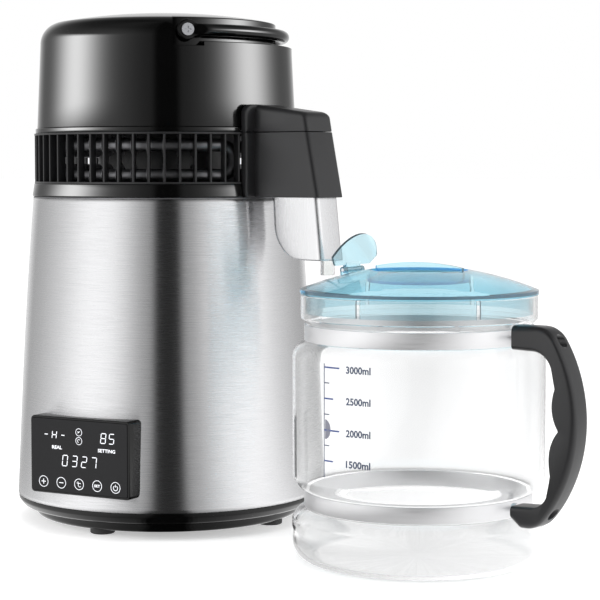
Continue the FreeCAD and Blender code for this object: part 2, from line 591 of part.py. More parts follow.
def make_rings():
    ring = new_body("head_ring", "spout")
    revolve(ring, [
        ("plate_r + ring_play", "head_foot_z"), ("ring_foot_r", "head_foot_z"),
        ("ring_top_r", "ring_top_z"), ("head_in_r", "ring_top_z"),
        ("head_in_r", "plate_z + plate_thick + plate_gap"),
        ("plate_r + ring_play", "plate_z + plate_thick + plate_gap")])
    cut_window(ring, "head_foot_z", "ring_top_z")

    grille = new_body("vent_grille", "spout")
    revolve(grille, box_corners("grille_in_r", "ring_top_z", "grille_r", "ring_top_z + grille_rail"))
    rib = extrude(grille, "XY", "ring_top_z", "grille_top_z - ring_top_z", corners=[
        ("grille_in_r + rib_inset", "-rib_thick / 2"), ("grille_r - rib_inset", "-rib_thick / 2"),
        ("grille_r - rib_inset", "rib_thick / 2"), ("grille_in_r + rib_inset", "rib_thick / 2")])
    rib.Profile[0].AttachmentOffset = Placement(
        rib.Profile[0].AttachmentOffset.Base, Rotation(Vector(0, 0, 1), value("rib_start")))
    repeat(grille, rib, "rib_count", "rib_sweep")
    revolve(grille, box_corners("grille_in_r", "grille_top_z - grille_rail",
                                "grille_r", "grille_top_z"))
    cut_window(grille, "ring_top_z", "grille_top_z", "grille_in_r - cut_over")

    collar = new_body("collar_ring", "spout")
    revolve(collar, box_corners("grille_in_r - collar_step", "grille_top_z", "collar_r", "collar_top_z"))
    cut_window(collar, "grille_top_z", "collar_top_z")


def make_cap():
    """The cap is a domed shell. Its right half has a rebate for the bail, deeper at each pivot, and
    a lining inside the shell closes the rebate's floor, wall and ends."""
    cap = new_body("head_cap", "pivot")
    revolve(cap, [
        ("cap_foot_r", "collar_top_z"), ("cap_shoulder_r", "cap_shoulder_z", "cap_bend_r"),
        ("cap_crown_r", "cap_crown_z", "cap_dome_r"), ("0", "cap_top_z"),
        ("0", "cap_top_z - cap_wall", "-cap_dome_r"),
        ("cap_crown_r - cap_wall / 4", "cap_crown_z - cap_wall", "-(cap_bend_r - cap_wall)"),
        ("cap_shoulder_r - cap_wall", "cap_shoulder_z"), ("cap_foot_r - cap_wall", "collar_top_z")])
    skin, lining_foot = "cap_wall / 2", "notch_z - cap_wall"
    revolve(cap, [
        ("rebate_r - cap_wall", lining_foot), (f"cap_shoulder_r - {skin}", lining_foot),
        (f"cap_shoulder_r - {skin}", "cap_shoulder_z", f"cap_bend_r - {skin}"),
        ("cap_crown_r", f"cap_crown_z - {skin}"),
        ("rebate_r - cap_wall", f"cap_crown_z - {skin}")],
        start="-notch_half - web_sweep", sweep="180 + 2 * (notch_half + web_sweep)")
    revolve(cap, box_corners("rebate_r", "rebate_z", "cap_foot_r", "cap_top_z"),
            start="notch_half", sweep="180 - 2 * notch_half", cuts=True)
    for at in ("-notch_half", "180 - notch_half"):
        revolve(cap, box_corners("rebate_r", "notch_z", "cap_foot_r", "cap_top_z"),
                start=at, sweep="2 * notch_half", cuts=True)
    for offset in ("rebate_r - cap_wall - boss_long", f"-(rebate_r - {skin})"):
        extrude(cap, "YZ", offset, f"boss_long + {skin}", circles=[("0", "pivot_z", "boss_r")])
    for offset in ("rebate_r - cap_wall - boss_long", "-(rebate_r + cut_over)"):
        extrude(cap, "YZ", offset, "boss_long + cap_wall + cut_over",
                circles=[("0", "pivot_z", "pivot_pin_r")], cuts=True)


def make_bail():
    half = primitive("Torus", {"Radius1": "bail_ring_r", "Radius2": "bail_r", "Angle3": "180"},
                     ("0", "0", "pivot_z"))
    eye = {"Radius": "eye_r", "Height": "eye_thick"}
    hole = {"Radius": "pivot_pin_r + pivot_fit", "Height": "2 * bail_ring_r + 4 * bail_r"}
    across = (0, 1, 0)
    eyes = [primitive("Cylinder", eye, (place, "0", "pivot_z"), across, 90)
            for place in ("eye_in_r", "-(eye_in_r + eye_thick)")]
    solid = joined([half] + eyes)
    flats = [primitive("Box", {"Length": "flat_long", "Width": "3 * eye_r", "Height": "4 * eye_r"},
                       (place, "-3 * eye_r / 2", "pivot_z - 2 * eye_r"))
             for place in ("eye_in_r + eye_thick", "-(eye_in_r + eye_thick + flat_long)")]
    bore = primitive("Cylinder", hole, ("-(bail_ring_r + 2 * bail_r)", "0", "pivot_z"), across, 90)
    settle(minus(solid, joined(flats + [bore])), "pivot", "bail_handle")

    screws = new_body("bail_screws", "pivot")
    head_x = "eye_in_r + eye_thick + bail_play"
    pin_x = "rebate_r - cap_wall - boss_long + pin_set_back"
    extrude(screws, "YZ", pin_x, f"{head_x} - ({pin_x})", circles=[("0", "pivot_z", "pivot_pin_r")])
    extrude(screws, "YZ", head_x, "pivot_head_thick", circles=[("0", "pivot_z", "pivot_head_r")])
    extrude(screws, "YZ", f"-({head_x})", f"{head_x} - ({pin_x})",
            circles=[("0", "pivot_z", "pivot_pin_r")])
    extrude(screws, "YZ", f"-({head_x}) - pivot_head_thick", "pivot_head_thick",
            circles=[("0", "pivot_z", "pivot_head_r")])
    for offset in (f"{head_x} + pivot_head_thick - cross_deep", f"-({head_x}) - pivot_head_thick"):
        for wide, tall in (("cross_wide", "cross_long"), ("cross_long", "cross_wide")):
            extrude(screws, "YZ", offset, "cross_deep", cuts=True, corners=box_corners(
                f"-{wide} / 2", f"pivot_z - {tall} / 2", f"{wide} / 2", f"pivot_z + {tall} / 2"))


def make_fan():
    bracket = new_body("motor_bracket", "spout")
    arm = extrude(bracket, "XY", "bracket_z", "bracket_thick", corners=box_corners(
        "0", "-bracket_arm_wide / 2", "bracket_reach", "bracket_arm_wide / 2"))
    repeat(bracket, arm, "3")
    extrude(bracket, "XY", "bracket_z", "bracket_thick", circles=[("0", "0", "bracket_hub_r")])
    extrude(bracket, "XY", "bracket_z", "bracket_thick", circles=[("0", "0", "2 * shaft_r")],
            cuts=True)
    hole = extrude(bracket, "XY", "bracket_z", "bracket_thick", cuts=True,
                   circles=[("post_reach", "0", "bracket_screw_r")])
    repeat(bracket, hole, "3")

    posts = new_body("bracket_posts", "spout")
    post = extrude(posts, "XY", "collar_top_z", "bracket_z - collar_top_z", circles=[
        ("post_reach", "0", "post_r"), ("post_reach", "0", "bracket_screw_r")])
    repeat(posts, post, "3")
    beams = new_body("post_ring", "spout")
    revolve(beams, box_corners("post_reach - post_r - beam_lap", "collar_top_z - beam_high",
                               "grille_in_r - collar_step", "collar_top_z"))

    screws = new_body("bracket_screws", "spout")
    top = "bracket_z + bracket_thick"
    screw = revolve_at(screws, "post_reach", [
        ("0", "bracket_z - bracket_screw_long"),
        ("bracket_screw_r", "bracket_z - bracket_screw_long"), ("bracket_screw_r", top),
        ("bracket_screw_head_r", top), ("bracket_screw_head_r", f"{top} + bracket_screw_head_high"),
        ("0", f"{top} + bracket_screw_head_high")])
    repeat(screws, screw, "3")

    motor = new_body("fan_motor", "spout")
    extrude(motor, "XY", "motor_z", "motor_high", circles=[("0", "0", "motor_r")])
    round_edges(motor, "motor_round_r", [("motor_r", "0", "motor_z + motor_high")])
    extrude(motor, "XY", "motor_z", "shaft_top_z + shaft_end_gap - motor_z", cuts=True,
            circles=[("0", "0", "shaft_r + shaft_fit")])

    shaft = new_body("fan_shaft", "spout")
    extrude(shaft, "XY", "shaft_foot_z", "shaft_top_z - shaft_foot_z",
            circles=[("0", "0", "shaft_r")])

    rotor = new_body("fan_rotor", "spout")
    extrude(rotor, "XY", "fan_z", "fan_high", circles=[("0", "0", "fan_hub_r")])
    low, high = "fan_z + blade_gap", "fan_z + fan_high - blade_gap - 2 * blade_thick"
    blade = extrude(rotor, "YZ", "fan_hub_r - blade_root", "blade_reach - fan_hub_r", corners=[
        ("-blade_half", low), ("blade_half", high), ("blade_half", f"{high} + blade_thick"),
        ("-blade_half", f"{low} + blade_thick")])
    repeat(rotor, blade, "blade_count")
    extrude(rotor, "XY", "fan_z", "fan_high", circles=[("0", "0", "shaft_r")], cuts=True)


def ring_of(tube, ring_z, end):
    """A length of ring tube from the coil's turn round the back to an end angle."""
    sweep = f"{FULL_TURN} + coil_turn_at - {end}"
    return primitive("Torus", {"Radius1": "coil_ring_r", "Radius2": tube, "Angle3": sweep},
                     ("0", "0", ring_z), turn=value(end))


def make_condenser():
    """Two ring tubes, one above the other, joined by a half-round turn at one end."""
    at = math.radians(value("coil_turn_at"))
    across, along = math.cos(at), math.sin(at)
    middle_z = "(coil_low_z + coil_high_z) / 2"
    halves = []
    for tube in ("coil_r", "coil_bore_r"):
        turn = primitive("Torus", {
            "Radius1": "(coil_high_z - coil_low_z) / 2", "Radius2": tube, "Angle3": "180"},
            (f"coil_ring_r * {across}", f"coil_ring_r * {along}", middle_z))
        outward, up = Vector(-along, across, 0), Vector(0, 0, 1)
        upright = Rotation(up * -1, outward, Vector(across, along, 0), "XYZ")
        turn.Placement = Placement(turn.Placement.Base, upright)
        for key, formula in zip("xyz", (f"coil_ring_r * {across}", f"coil_ring_r * {along}", middle_z)):
            turn.setExpression(".Placement.Base." + key, linked(formula))
        halves.append(joined([ring_of(tube, "coil_high_z", "coil_high_end"),
                              ring_of(tube, "coil_low_z", "coil_low_end"), turn]))
    settle(minus(*halves), "spout", "condenser_coil")

    fins = new_body("condenser_fins", "spout")
    for ring_z in ("coil_low_z", "coil_high_z"):
        made = new_sketch(fins, "XZ", "-fin_thick / 2")
        draw_circle(made, "coil_ring_r", ring_z, "fin_r")
        draw_circle(made, "coil_ring_r", ring_z, "coil_r + fin_fit")
        fin = add_feature(fins, "Pad", made, {"Length": "fin_thick"}, False)
        repeat(fins, fin, "fin_count", "fin_sweep")
    fins.setExpression(".Placement.Rotation.Angle", linked("fin_start"))

    at = math.radians(value("coil_high_end"))
    across, along = math.cos(at), math.sin(at)
    foot = (f"riser_reach * {across}", f"riser_reach * {along}", "plate_drop_z - riser_drop")
    elbow = (foot[0], foot[1], "coil_high_z")
    tubes = []
    for upright, level in (("riser_r", "coil_r"), ("riser_bore_r", "coil_bore_r")):
        stand = primitive("Cylinder", {
            "Radius": upright, "Height": "coil_high_z - plate_drop_z + riser_drop"}, foot)
        knee = primitive("Sphere", {"Radius": upright}, elbow)
        arm = primitive("Cylinder", {"Radius": level, "Height": "coil_ring_r - riser_reach"}, elbow)
        arm.Placement = Placement(arm.Placement.Base,
                                  Rotation(Vector(0, 0, 1), Vector(across, along, 0)))
        for key, formula in zip("xyz", elbow):
            arm.setExpression(".Placement.Base." + key, linked(formula))
        tubes.append(joined([stand, knee, arm]))
    settle(minus(*tubes), "spout", "steam_riser")

    outlet = new_body("outlet_tube", "spout")
    extrude(outlet, "YZ", "outlet_start_x", "outlet_end_x - outlet_start_x",
            circles=[("0", "coil_low_z", "outlet_r")])
    extrude(outlet, "YZ", "outlet_start_x + outlet_end_wall", "outlet_end_x - outlet_start_x",
            circles=[("0", "coil_low_z", "outlet_bore_r")], cuts=True)

    guide = new_body("air_guide", "spout")
    foot = "plate_drop_z + plate_thick"
    revolve(guide, [
        ("guide_foot_r - guide_wall", foot), ("guide_foot_r", foot),
        ("guide_top_r", "guide_top_z"), ("0", "guide_top_z"), ("0", "guide_top_z - guide_wall"),
        ("guide_top_r - guide_wall", "guide_top_z - guide_wall")])


def make_spout():
    housing = new_body("spout_housing", "spout")
    wide = "2 * spout_half"
    extrude(housing, "XZ", "-spout_half", wide, corners=[
        ("flange_in_r + flange_lap", "spout_foot_z"), ("spout_foot_x", "spout_foot_z"),
        ("spout_seam_x", "seam_z"), ("flange_in_r + flange_lap", "seam_z")])
    middle = "(spout_foot_z + seam_z) / 2"
    middle_x = "(spout_foot_x + spout_seam_x) / 2"
    round_edges(housing, "spout_edge_r", [(middle_x, "spout_half", middle),
                                          (middle_x, "-spout_half", middle)])
    revolve(housing, box_corners("flange_in_r", "spout_foot_z", "flange_out_r", "seam_z"),
            start="-flange_half", sweep="2 * flange_half")
    inner = "(cup_half + cup_play)"
    extrude(housing, "XZ", f"-{inner}", f"2 * {inner}", cuts=True, corners=[
        ("flange_out_r", "spout_foot_z - cut_over"),
        ("spout_foot_x - spout_wall", "spout_foot_z - cut_over"),
        ("spout_seam_x - spout_wall", "seam_z + cut_over"), ("flange_out_r", "seam_z + cut_over")])
    groove = "(cup_half + cup_lip + cup_play)"
    extrude(housing, "XZ", f"-{groove}", f"2 * {groove}", cuts=True, corners=box_corners(
        "cup_in_x - cup_lip - cup_play", "cup_top_z", "cup_top_x + cup_lip + cup_play",
        "cup_top_z + 2 * cup_wall"))
    extrude(housing, "YZ", "flange_in_r - cut_over", "flange_out_r - flange_in_r + 2 * cut_over",
            cuts=True, circles=[("0", "coil_low_z", "outlet_r + bore_play")])

    cover = new_body("spout_cover", "spout")
    foot = "seam_z + seam_gap"
    extrude(cover, "XZ", "-spout_half", wide, corners=[
        ("flange_in_r + flange_lap", foot), ("spout_seam_x - cover_set_back", foot),
        ("spout_top_x", "spout_top_z"),
        ("flange_in_r + flange_lap", "spout_root_z")])
    seam_x = "(spout_seam_x - cover_set_back + spout_top_x) / 2"
    seam_mid = f"({foot} + spout_top_z) / 2"
    top_mid = ("(flange_in_r + flange_lap + spout_top_x) / 2", "(spout_root_z + spout_top_z) / 2")
    rims = [(x, side, z) for x, z in ((seam_x, seam_mid), top_mid)
            for side in ("spout_half", "-spout_half")]
    round_edges(cover, "spout_edge_r", rims + [("spout_top_x", "0", "spout_top_z")])
    revolve(cover, box_corners("flange_in_r", foot, "flange_out_r", "spout_root_z"),
            start="-flange_half", sweep="2 * flange_half")
    extrude(cover, "XZ", "-(spout_half - spout_wall)", "2 * (spout_half - spout_wall)",
            cuts=True, corners=[
                ("flange_out_r", f"{foot} - cut_over"),
                ("spout_seam_x - spout_wall", f"{foot} - cut_over"),
                ("spout_top_x - spout_wall - cover_slack", "spout_top_z - spout_wall"),
                ("flange_out_r", "spout_root_z - spout_wall - cover_slack")])


def make_cup():
    cup = new_body("filter_cup", "spout")

    def section(inset):
        """The cup's side, moved inwards by an inset."""
        return [
            (f"cup_in_x + {inset}", "cup_top_z"),
            (f"cup_knee_x + {inset}", "cup_knee_z", f"cup_bend_r - {inset}"),
            ("cup_floor_x", f"cup_floor_z + {inset}"),
            (f"cup_out_x - {inset}", f"cup_floor_z + {inset}"),
            (f"cup_top_x - {inset}", "cup_top_z")]

    extrude(cup, "XZ", "-cup_half", "2 * cup_half", corners=section("0"))
    middle = ("(cup_out_x + cup_top_x) / 2", "(cup_floor_z + cup_top_z) / 2")
    round_edges(cup, "cup_edge_r", [(middle[0], side, middle[1])
                                    for side in ("cup_half", "-cup_half")])
    extrude(cup, "XZ", "-(cup_half - cup_wall)", "2 * (cup_half - cup_wall)", cuts=True,
            corners=section("cup_wall"))
    lip = "cup_half + cup_lip"
    made = new_sketch(cup, "XY", "cup_top_z")
    draw_outline(made, box_corners("cup_in_x", f"-({lip})", "cup_top_x + cup_lip", lip))
    draw_outline(made, box_corners("cup_in_x + cup_wall", "-(cup_half - cup_wall)",
                                   "cup_top_x - cup_wall", "cup_half - cup_wall"))
    add_feature(cup, "Pad", made, {"Length": "cup_wall"}, False)
    extrude(cup, "XY", "cup_floor_z - cut_over", "cup_wall + 2 * cut_over", cuts=True,
            circles=[("nozzle_x", "0", "nozzle_bore_r")])

    nozzle = new_body("nozzle_tip", "spout")
    extrude(nozzle, "XY", "nozzle_foot_z", "cup_floor_z - nozzle_foot_z", circles=[
        ("nozzle_x", "0", "nozzle_r"), ("nozzle_x", "0", "nozzle_bore_r")])


# ---------------------------------------------------------------- jug


def make_glass():
    glass = new_body("glass_jug", "jug")

    def wall(inset):
        """The jug's side from its foot to its rim, moved inwards by an inset."""
        return [
            ("jug_foot_r", inset, f"jug_foot_bend - {inset}"),
            (f"jug_r - {inset}", "jug_foot_bend"), (f"jug_r - {inset}", "jug_base_z", "shoulder_bend"),
            (f"waist_r - {inset}", "low_waist_z"),
            (f"waist_r - {inset}", "low_waist_top_z", "shoulder_bend"),
            (f"jug_r - {inset}", "body_foot_z"),
            (f"jug_r - {inset}", "body_top_z", "shoulder_bend"),
            (f"waist_r - {inset}", "high_waist_z"), (f"waist_r - {inset}", "high_waist_top_z"),
            (f"neck_r - {inset}", "neck_foot_z"), (f"neck_r - {inset}", "neck_top_z")]

    outside, inside = wall("0"), wall("glass_wall")
    turned = []
    for index in range(len(inside) - 1, -1, -1):
        bend = inside[index - 1][2:] if index else ()
        turned.append((*inside[index][:2], *[f"-({radius})" for radius in bend]))
    revolve(glass, [("0", "0")] + outside + turned + [("0", "glass_wall")])


def make_bands():
    for label, foot in (("lower_band", "low_band_z"), ("upper_band", "high_band_z")):
        band = new_body(label, "jug")
        inner = "waist_r + band_gap"
        revolve(band, box_corners(inner, foot, f"{inner} + band_thick", f"{foot} + band_high"))
        middle = f"{foot} + band_high / 2"
        extrude(band, "YZ", "boss_in_x", "boss_out_x - boss_in_x",
                circles=[("0", middle, "band_boss_r")])
        extrude(band, "YZ", "boss_in_x", "boss_out_x - boss_in_x",
                circles=[("0", middle, "handle_screw_r")], cuts=True)


def on_back(reach, turn):
    """A point at a distance and a turn from the centre of the handle's long back arc."""
    return f"back_x + ({reach}) * cos({turn})", f"back_z + ({reach}) * sin({turn})"


def make_handle():
    handle = new_body("jug_handle", "jug")
    heel_x, heel_z = on_back("back_r - heel_r", "heel_turn")
    shoulder_x, shoulder_z = on_back("back_r - shoulder_r", "shoulder_turn")
    side = [
        ("handle_in_x", f"{shoulder_z} + shoulder_r"), ("handle_in_x", "root_grip_z"),
        ("throat_x", "throat_top_z", "-throat_r"), ("grip_top_x", "grip_top_z"),
        ("ridge_high_x", "ridge_high_z", "-hollow_r"), ("ridge_mid_x", "ridge_mid_z", "-hollow_r"),
        ("ridge_low_x", "ridge_low_z"), ("grip_foot_x", "grip_foot_z", "-throat_r"),
        ("throat_x", "throat_foot_z"), ("handle_in_x", "root_rest_z"),
        ("handle_in_x", "root_foot_z"), ("sole_in_x", f"{heel_z} - heel_r"),
        (heel_x, f"{heel_z} - heel_r", "heel_r"), (*on_back("back_r", "heel_turn"), "back_r"),
        (*on_back("back_r", "shoulder_turn"), "shoulder_r"),
        (shoulder_x, f"{shoulder_z} + shoulder_r")]
    extrude(handle, "XZ", "-handle_half", "2 * handle_half", corners=side)
    backs = [arc_middle(side, index) for index, corner in enumerate(side)
             if len(corner) > 2 and not corner[2].startswith("-")]
    round_edges(handle, "handle_round_r", [(x, y, z) for x, z in backs
                                           for y in ("handle_half", "-handle_half")])
    for foot in ("high_band_z", "low_band_z"):
        middle = f"{foot} + band_high / 2"
        for start, radius in (("handle_in_x - cut_over", "screw_bore_r"), ("screw_sink_x", "screw_sink_r")):
            extrude(handle, "YZ", start, "sink_long", circles=[("0", middle, radius)],
                    cuts=True)

    screws = new_body("handle_screws", "jug")
    for foot in ("high_band_z", "low_band_z"):
        middle = f"{foot} + band_high / 2"
        extrude(screws, "YZ", "boss_in_x", "screw_sink_x - boss_in_x",
                circles=[("0", middle, "handle_screw_r")])
        extrude(screws, "YZ", "screw_sink_x", "handle_screw_head_long",
                circles=[("0", middle, "handle_screw_head_r")])


def make_jug_lid():
    lid = new_body("jug_lid", "lid")
    skirt_in = "skirt_r - skirt_thick"
    revolve(lid, [
        ("skirt_r", "lid_foot_z"), ("lid_r", "lid_foot_z"), ("lid_r", "lid_rim_z", "lid_dome_r"),
        ("well_r + lid_wall", "well_edge_z"), ("well_r", "well_edge_z"), ("well_r", "well_z"),
        ("0", "well_z"), ("0", "well_z - lid_wall"), ("well_r + lid_wall", "well_z - lid_wall"),
        ("well_r + lid_wall", "well_edge_z - lid_wall", "-(lid_dome_r)"),
        (skirt_in, "lid_foot_z + skirt_root"), (skirt_in, "skirt_foot_z"), ("skirt_r", "skirt_foot_z")])
    extrude(lid, "XZ", "-fin_half", "2 * fin_half", corners=[
        ("-(well_r + fin_lap)", "well_z - fin_lap"), ("well_r + fin_lap", "well_z - fin_lap"),
        ("well_r + fin_lap", "fin_top_z", "crest_r"), ("-(well_r + fin_lap)", "fin_top_z")])
    step = "-(port_in_x + port_step)"
    extrude(lid, "XY", "lid_foot_z", "hinge_z - lid_foot_z", cuts=True, corners=[
        ("-port_in_x", "port_half"), (step, "port_half", "port_r"),
        (step, "-port_half"), ("-port_in_x", "-port_half")])
    slot = extrude(lid, "YZ", "0", "lid_r", cuts=True, corners=box_corners(
        "-slot_wide / 2", "skirt_foot_z", "slot_wide / 2", "skirt_foot_z + slot_high"))
    slot.Profile[0].AttachmentOffset = Placement(
        slot.Profile[0].AttachmentOffset.Base, Rotation(Vector(0, 1, 0), value("slot_start")))
    repeat(lid, slot, "slot_count")
    for side in ("knuckle_half + ear_gap", "-(knuckle_half + ear_gap + ear_thick)"):
        extrude(lid, "XZ", side, "ear_thick", corners=[
            ("-(hinge_x + ear_out)", "hinge_z - ear_drop"), ("-(hinge_x + ear_out)", "hinge_z"),
            ("-(hinge_x - ear_out)", "hinge_z"), ("-(hinge_x - ear_in)", "hinge_z - ear_drop")])
        extrude(lid, "XZ", side, "ear_thick", circles=[("-hinge_x", "hinge_z", "flap_knuckle_r")])
        extrude(lid, "XZ", side, "ear_thick", circles=[("-hinge_x", "hinge_z", "hinge_pin_r")],
                cuts=True)

    pin = new_body("flap_pin", "lid")
    half = "(knuckle_half + ear_gap + ear_thick)"
    extrude(pin, "XZ", f"-{half}", f"2 * {half}", circles=[("-hinge_x", "hinge_z", "hinge_pin_r")])


def make_flap():
    """The flap is drawn shut, lying outwards from its hinge, and stands open by its Placement."""
    flap = new_body("lid_flap", "lid")
    low = "-(flap_drop + flap_thick)"
    top = "-flap_drop"
    made = new_sketch(flap, "XY", low)
    side_x, root = "-(flap_root + flap_corner)", "flap_half - flap_corner"
    draw_outline(made, [
        ("-flap_root", root), (side_x, "flap_half", "flap_bend_r"),
        ("-flap_long", "0", "flap_bend_r"), (side_x, "-flap_half"), ("-flap_root", f"-({root})")])
    add_feature(flap, "Pad", made, {"Length": "flap_thick"}, False)
    arm = "flap_knuckle_r + flap_root"
    extrude(flap, "XZ", "-knuckle_half", "2 * knuckle_half", corners=[
        (f"-({arm})", top), (f"-({arm})", low), ("0", low), ("0", "0"), ("-flap_knuckle_r", "0")])
    extrude(flap, "XZ", "-knuckle_half", "2 * knuckle_half", circles=[("0", "0", "flap_knuckle_r")])
    extrude(flap, "XZ", "-knuckle_half", "2 * knuckle_half",
            circles=[("0", "0", "hinge_pin_r + hinge_fit")], cuts=True)
    jug = flap.Placement
    hinge = Placement(Vector(-value("hinge_x"), 0, value("hinge_z")), Rotation())
    opened = Placement(Vector(), Rotation(Vector(0, 1, 0), value("flap_open")))
    for key in (".Placement.Base.x", ".Placement.Base.y", ".Placement.Rotation.Angle"):
        flap.setExpression(key, None)
    flap.Placement = jug * hinge * opened


def check_and_save():
    """Stop at any failed object, then write one STEP file for each sub-part."""
    DOCUMENT.recompute()
    for made in DOCUMENT.Objects:
        if "Invalid" in made.State or "Error" in made.State:
            raise ValueError(f"{made.Label} failed: {made.State}")
    os.makedirs("parts", exist_ok=True)
    box = FreeCAD.BoundBox()
    for made in PARTS:
        shape = made.Shape
        if shape.isNull() or not shape.isValid():
            raise ValueError(f"{made.Label} has no sound shape")
        shape.exportStep(f"parts/{made.Label}.step")
        box.add(shape.BoundBox)
    print(f"{len(PARTS)} sub-parts, {box.XMin:.1f} {box.YMin:.1f} {box.ZMin:.1f} to "
          f"{box.XMax:.1f} {box.YMax:.1f} {box.ZMax:.1f} mm")


fill_sheet()
make_base()
make_shell()
make_pot()
make_heater()
make_panel()
make_electrics()
make_lid()
make_rings()
make_cap()
make_bail()
make_fan()
make_condenser()
make_spout()
make_cup()
make_fan_socket("head_socket", "-(cap_foot_r + head_socket_out)", "head_socket_z")
make_glass()
make_bands()
make_handle()
make_jug_lid()
make_flap()
check_and_save()
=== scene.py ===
# %% [markdown]
# # A worktop water distiller, dressed in Blender
#
# The frame is the machine itself: every solid stands where the CAD put it, and each one already
# moves with its body. This script gives those solids their looks. A piece whose shape is simple
# and fully seen is drawn again as a smooth surface worked out with numpy, and takes the place of
# its solid. A piece that is hidden keeps its solid and gets a finish.

# %% Load the frame
import json

import bmesh
import bpy
import numpy as np
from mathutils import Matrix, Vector

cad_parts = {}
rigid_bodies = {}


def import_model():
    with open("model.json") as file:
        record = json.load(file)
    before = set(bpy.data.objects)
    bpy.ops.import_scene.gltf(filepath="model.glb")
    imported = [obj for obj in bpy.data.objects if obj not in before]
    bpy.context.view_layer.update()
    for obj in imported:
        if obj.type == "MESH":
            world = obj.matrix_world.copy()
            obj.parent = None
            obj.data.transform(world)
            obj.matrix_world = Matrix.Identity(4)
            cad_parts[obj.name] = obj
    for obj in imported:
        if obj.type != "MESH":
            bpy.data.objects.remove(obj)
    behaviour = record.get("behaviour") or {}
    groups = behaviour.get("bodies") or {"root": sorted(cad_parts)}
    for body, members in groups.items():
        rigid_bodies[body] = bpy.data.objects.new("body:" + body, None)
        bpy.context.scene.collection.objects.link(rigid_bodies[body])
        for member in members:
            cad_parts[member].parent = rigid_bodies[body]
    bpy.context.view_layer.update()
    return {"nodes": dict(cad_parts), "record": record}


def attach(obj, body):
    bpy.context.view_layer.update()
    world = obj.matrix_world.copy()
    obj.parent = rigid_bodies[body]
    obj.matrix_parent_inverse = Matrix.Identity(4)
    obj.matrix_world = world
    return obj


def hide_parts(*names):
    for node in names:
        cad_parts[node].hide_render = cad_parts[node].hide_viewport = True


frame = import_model()

# %% [markdown]
# ## Homes
#
# Every piece is drawn in millimetres about the upright line that it belongs to, because a round
# machine is easiest to describe from its own axis. A home is where that line stands and how far
# it is turned: the distiller's axis serves the body, the spout and the bail, each with its own
# turn, and the jug has an axis of its own.

# %% Where each piece belongs
AXIS = np.array([-130.15, 4.35])
JUG = AXIS + np.array([245.7, -12.3])
HOMES = {"spout": (AXIS, 0.0), "front": (AXIS, 11.5), "pivot": (AXIS, -36.4), "jug": (JUG, 0.0)}
MILLIMETRE = 0.001


def stand(points, home):
    """Turn points about Z by the home's angle, move them to its axis, and give them in metres:
    (x cos t - y sin t, x sin t + y cos t, z)."""
    axis, turn = HOMES[home]
    angle = np.radians(turn)
    x, y, z = np.moveaxis(np.asarray(points, float), -1, 0)
    turned = [x * np.cos(angle) - y * np.sin(angle) + axis[0],
              x * np.sin(angle) + y * np.cos(angle) + axis[1], z]
    return np.stack(turned, axis=-1) * MILLIMETRE


print("homes", sorted(HOMES))

# %% [markdown]
# ## From a grid of points to a piece
#
# A surface is a grid of points, rows by columns. Its faces are the squares between neighbours,
# and a grid that closes on itself joins its last row or column to its first. A patch is such a
# grid with its faces. Points that fall together, such as a pole or a seam, are merged, and the
# normals are worked out afterwards, so each shell is closed and looks outwards. Edges sharper
# than a set angle stay crisp.


# %% Patches
def squares(rows, columns, close_rows, close_columns):
    """Each square joins (r, c), (r, c+1), (r+1, c+1) and (r+1, c), counted modulo a closed side."""
    r = np.arange(rows if close_rows else rows - 1)[:, None]
    c = np.arange(columns if close_columns else columns - 1)[None, :]
    below, right = (r + 1) % rows, (c + 1) % columns
    corners = [r * columns + c, r * columns + right, below * columns + right, below * columns + c]
    return np.stack(np.broadcast_arrays(*corners), axis=-1).reshape(-1, 4)


def patch(points, close_rows=False, close_columns=False):
    """A grid of points with its squares."""
    rows, columns = points.shape[:2]
    return points.reshape(-1, 3), squares(rows, columns, close_rows, close_columns)


def laid(ring, height):
    """Points (u, v) laid at a height: (u, v, height). A row of u laid at v gives (u, v)."""
    return np.column_stack([ring, np.broadcast_to(height, len(ring))])


def capped(rings):
    """Close both ends of a tube with one more ring each, drawn together to the ring's middle."""
    ends = rings[[0, -1]]
    middles = np.broadcast_to(ends.mean(axis=1, keepdims=True), ends.shape)
    return np.concatenate([middles[:1], rings, middles[1:]])


def moved(made, shift):
    """The same patch, moved by (x, y, z)."""
    points, faces = made
    return points + shift, faces


def copies(made, turns):
    """The same patch at several turns (degrees) about Z, as one patch."""
    points, faces = made
    angles = np.radians(np.asarray(turns, float))[:, None]
    x, y, z = points.T
    spread = np.stack([x * np.cos(angles) - y * np.sin(angles),
                       x * np.sin(angles) + y * np.cos(angles),
                       np.broadcast_to(z, (len(angles), len(points)))], axis=-1)
    shift = np.arange(len(angles))[:, None, None] * len(points)
    return spread.reshape(-1, 3), (faces[None] + shift).reshape(-1, 4)


print("a grid of 3 by 4 points has", len(squares(3, 4, False, False)), "squares")

# %% Make a piece
MEET, VANISH = 2e-6, 1e-7
SHARP = 32.0


def make_mesh(name, patches, home, sharp=SHARP, outwards=True):
    """Join patches in one mesh: merge points closer than MEET metres and face it outwards."""
    counts = np.cumsum([0] + [len(points) for points, _ in patches])
    points = np.concatenate([points for points, _ in patches])
    faces = sum([(faces + start).tolist() for (_, faces), start in zip(patches, counts)], [])
    mesh = bpy.data.meshes.new(name)
    mesh.from_pydata(stand(points, home).tolist(), [], faces)
    work = bmesh.new()
    work.from_mesh(mesh)
    bmesh.ops.remove_doubles(work, verts=work.verts, dist=MEET)
    bmesh.ops.dissolve_degenerate(work, edges=work.edges, dist=VANISH)
    if outwards:
        bmesh.ops.recalc_face_normals(work, faces=work.faces)
    work.to_mesh(mesh)
    work.free()
    mesh.shade_smooth()
    mesh.set_sharp_from_angle(angle=np.radians(sharp))
    return mesh


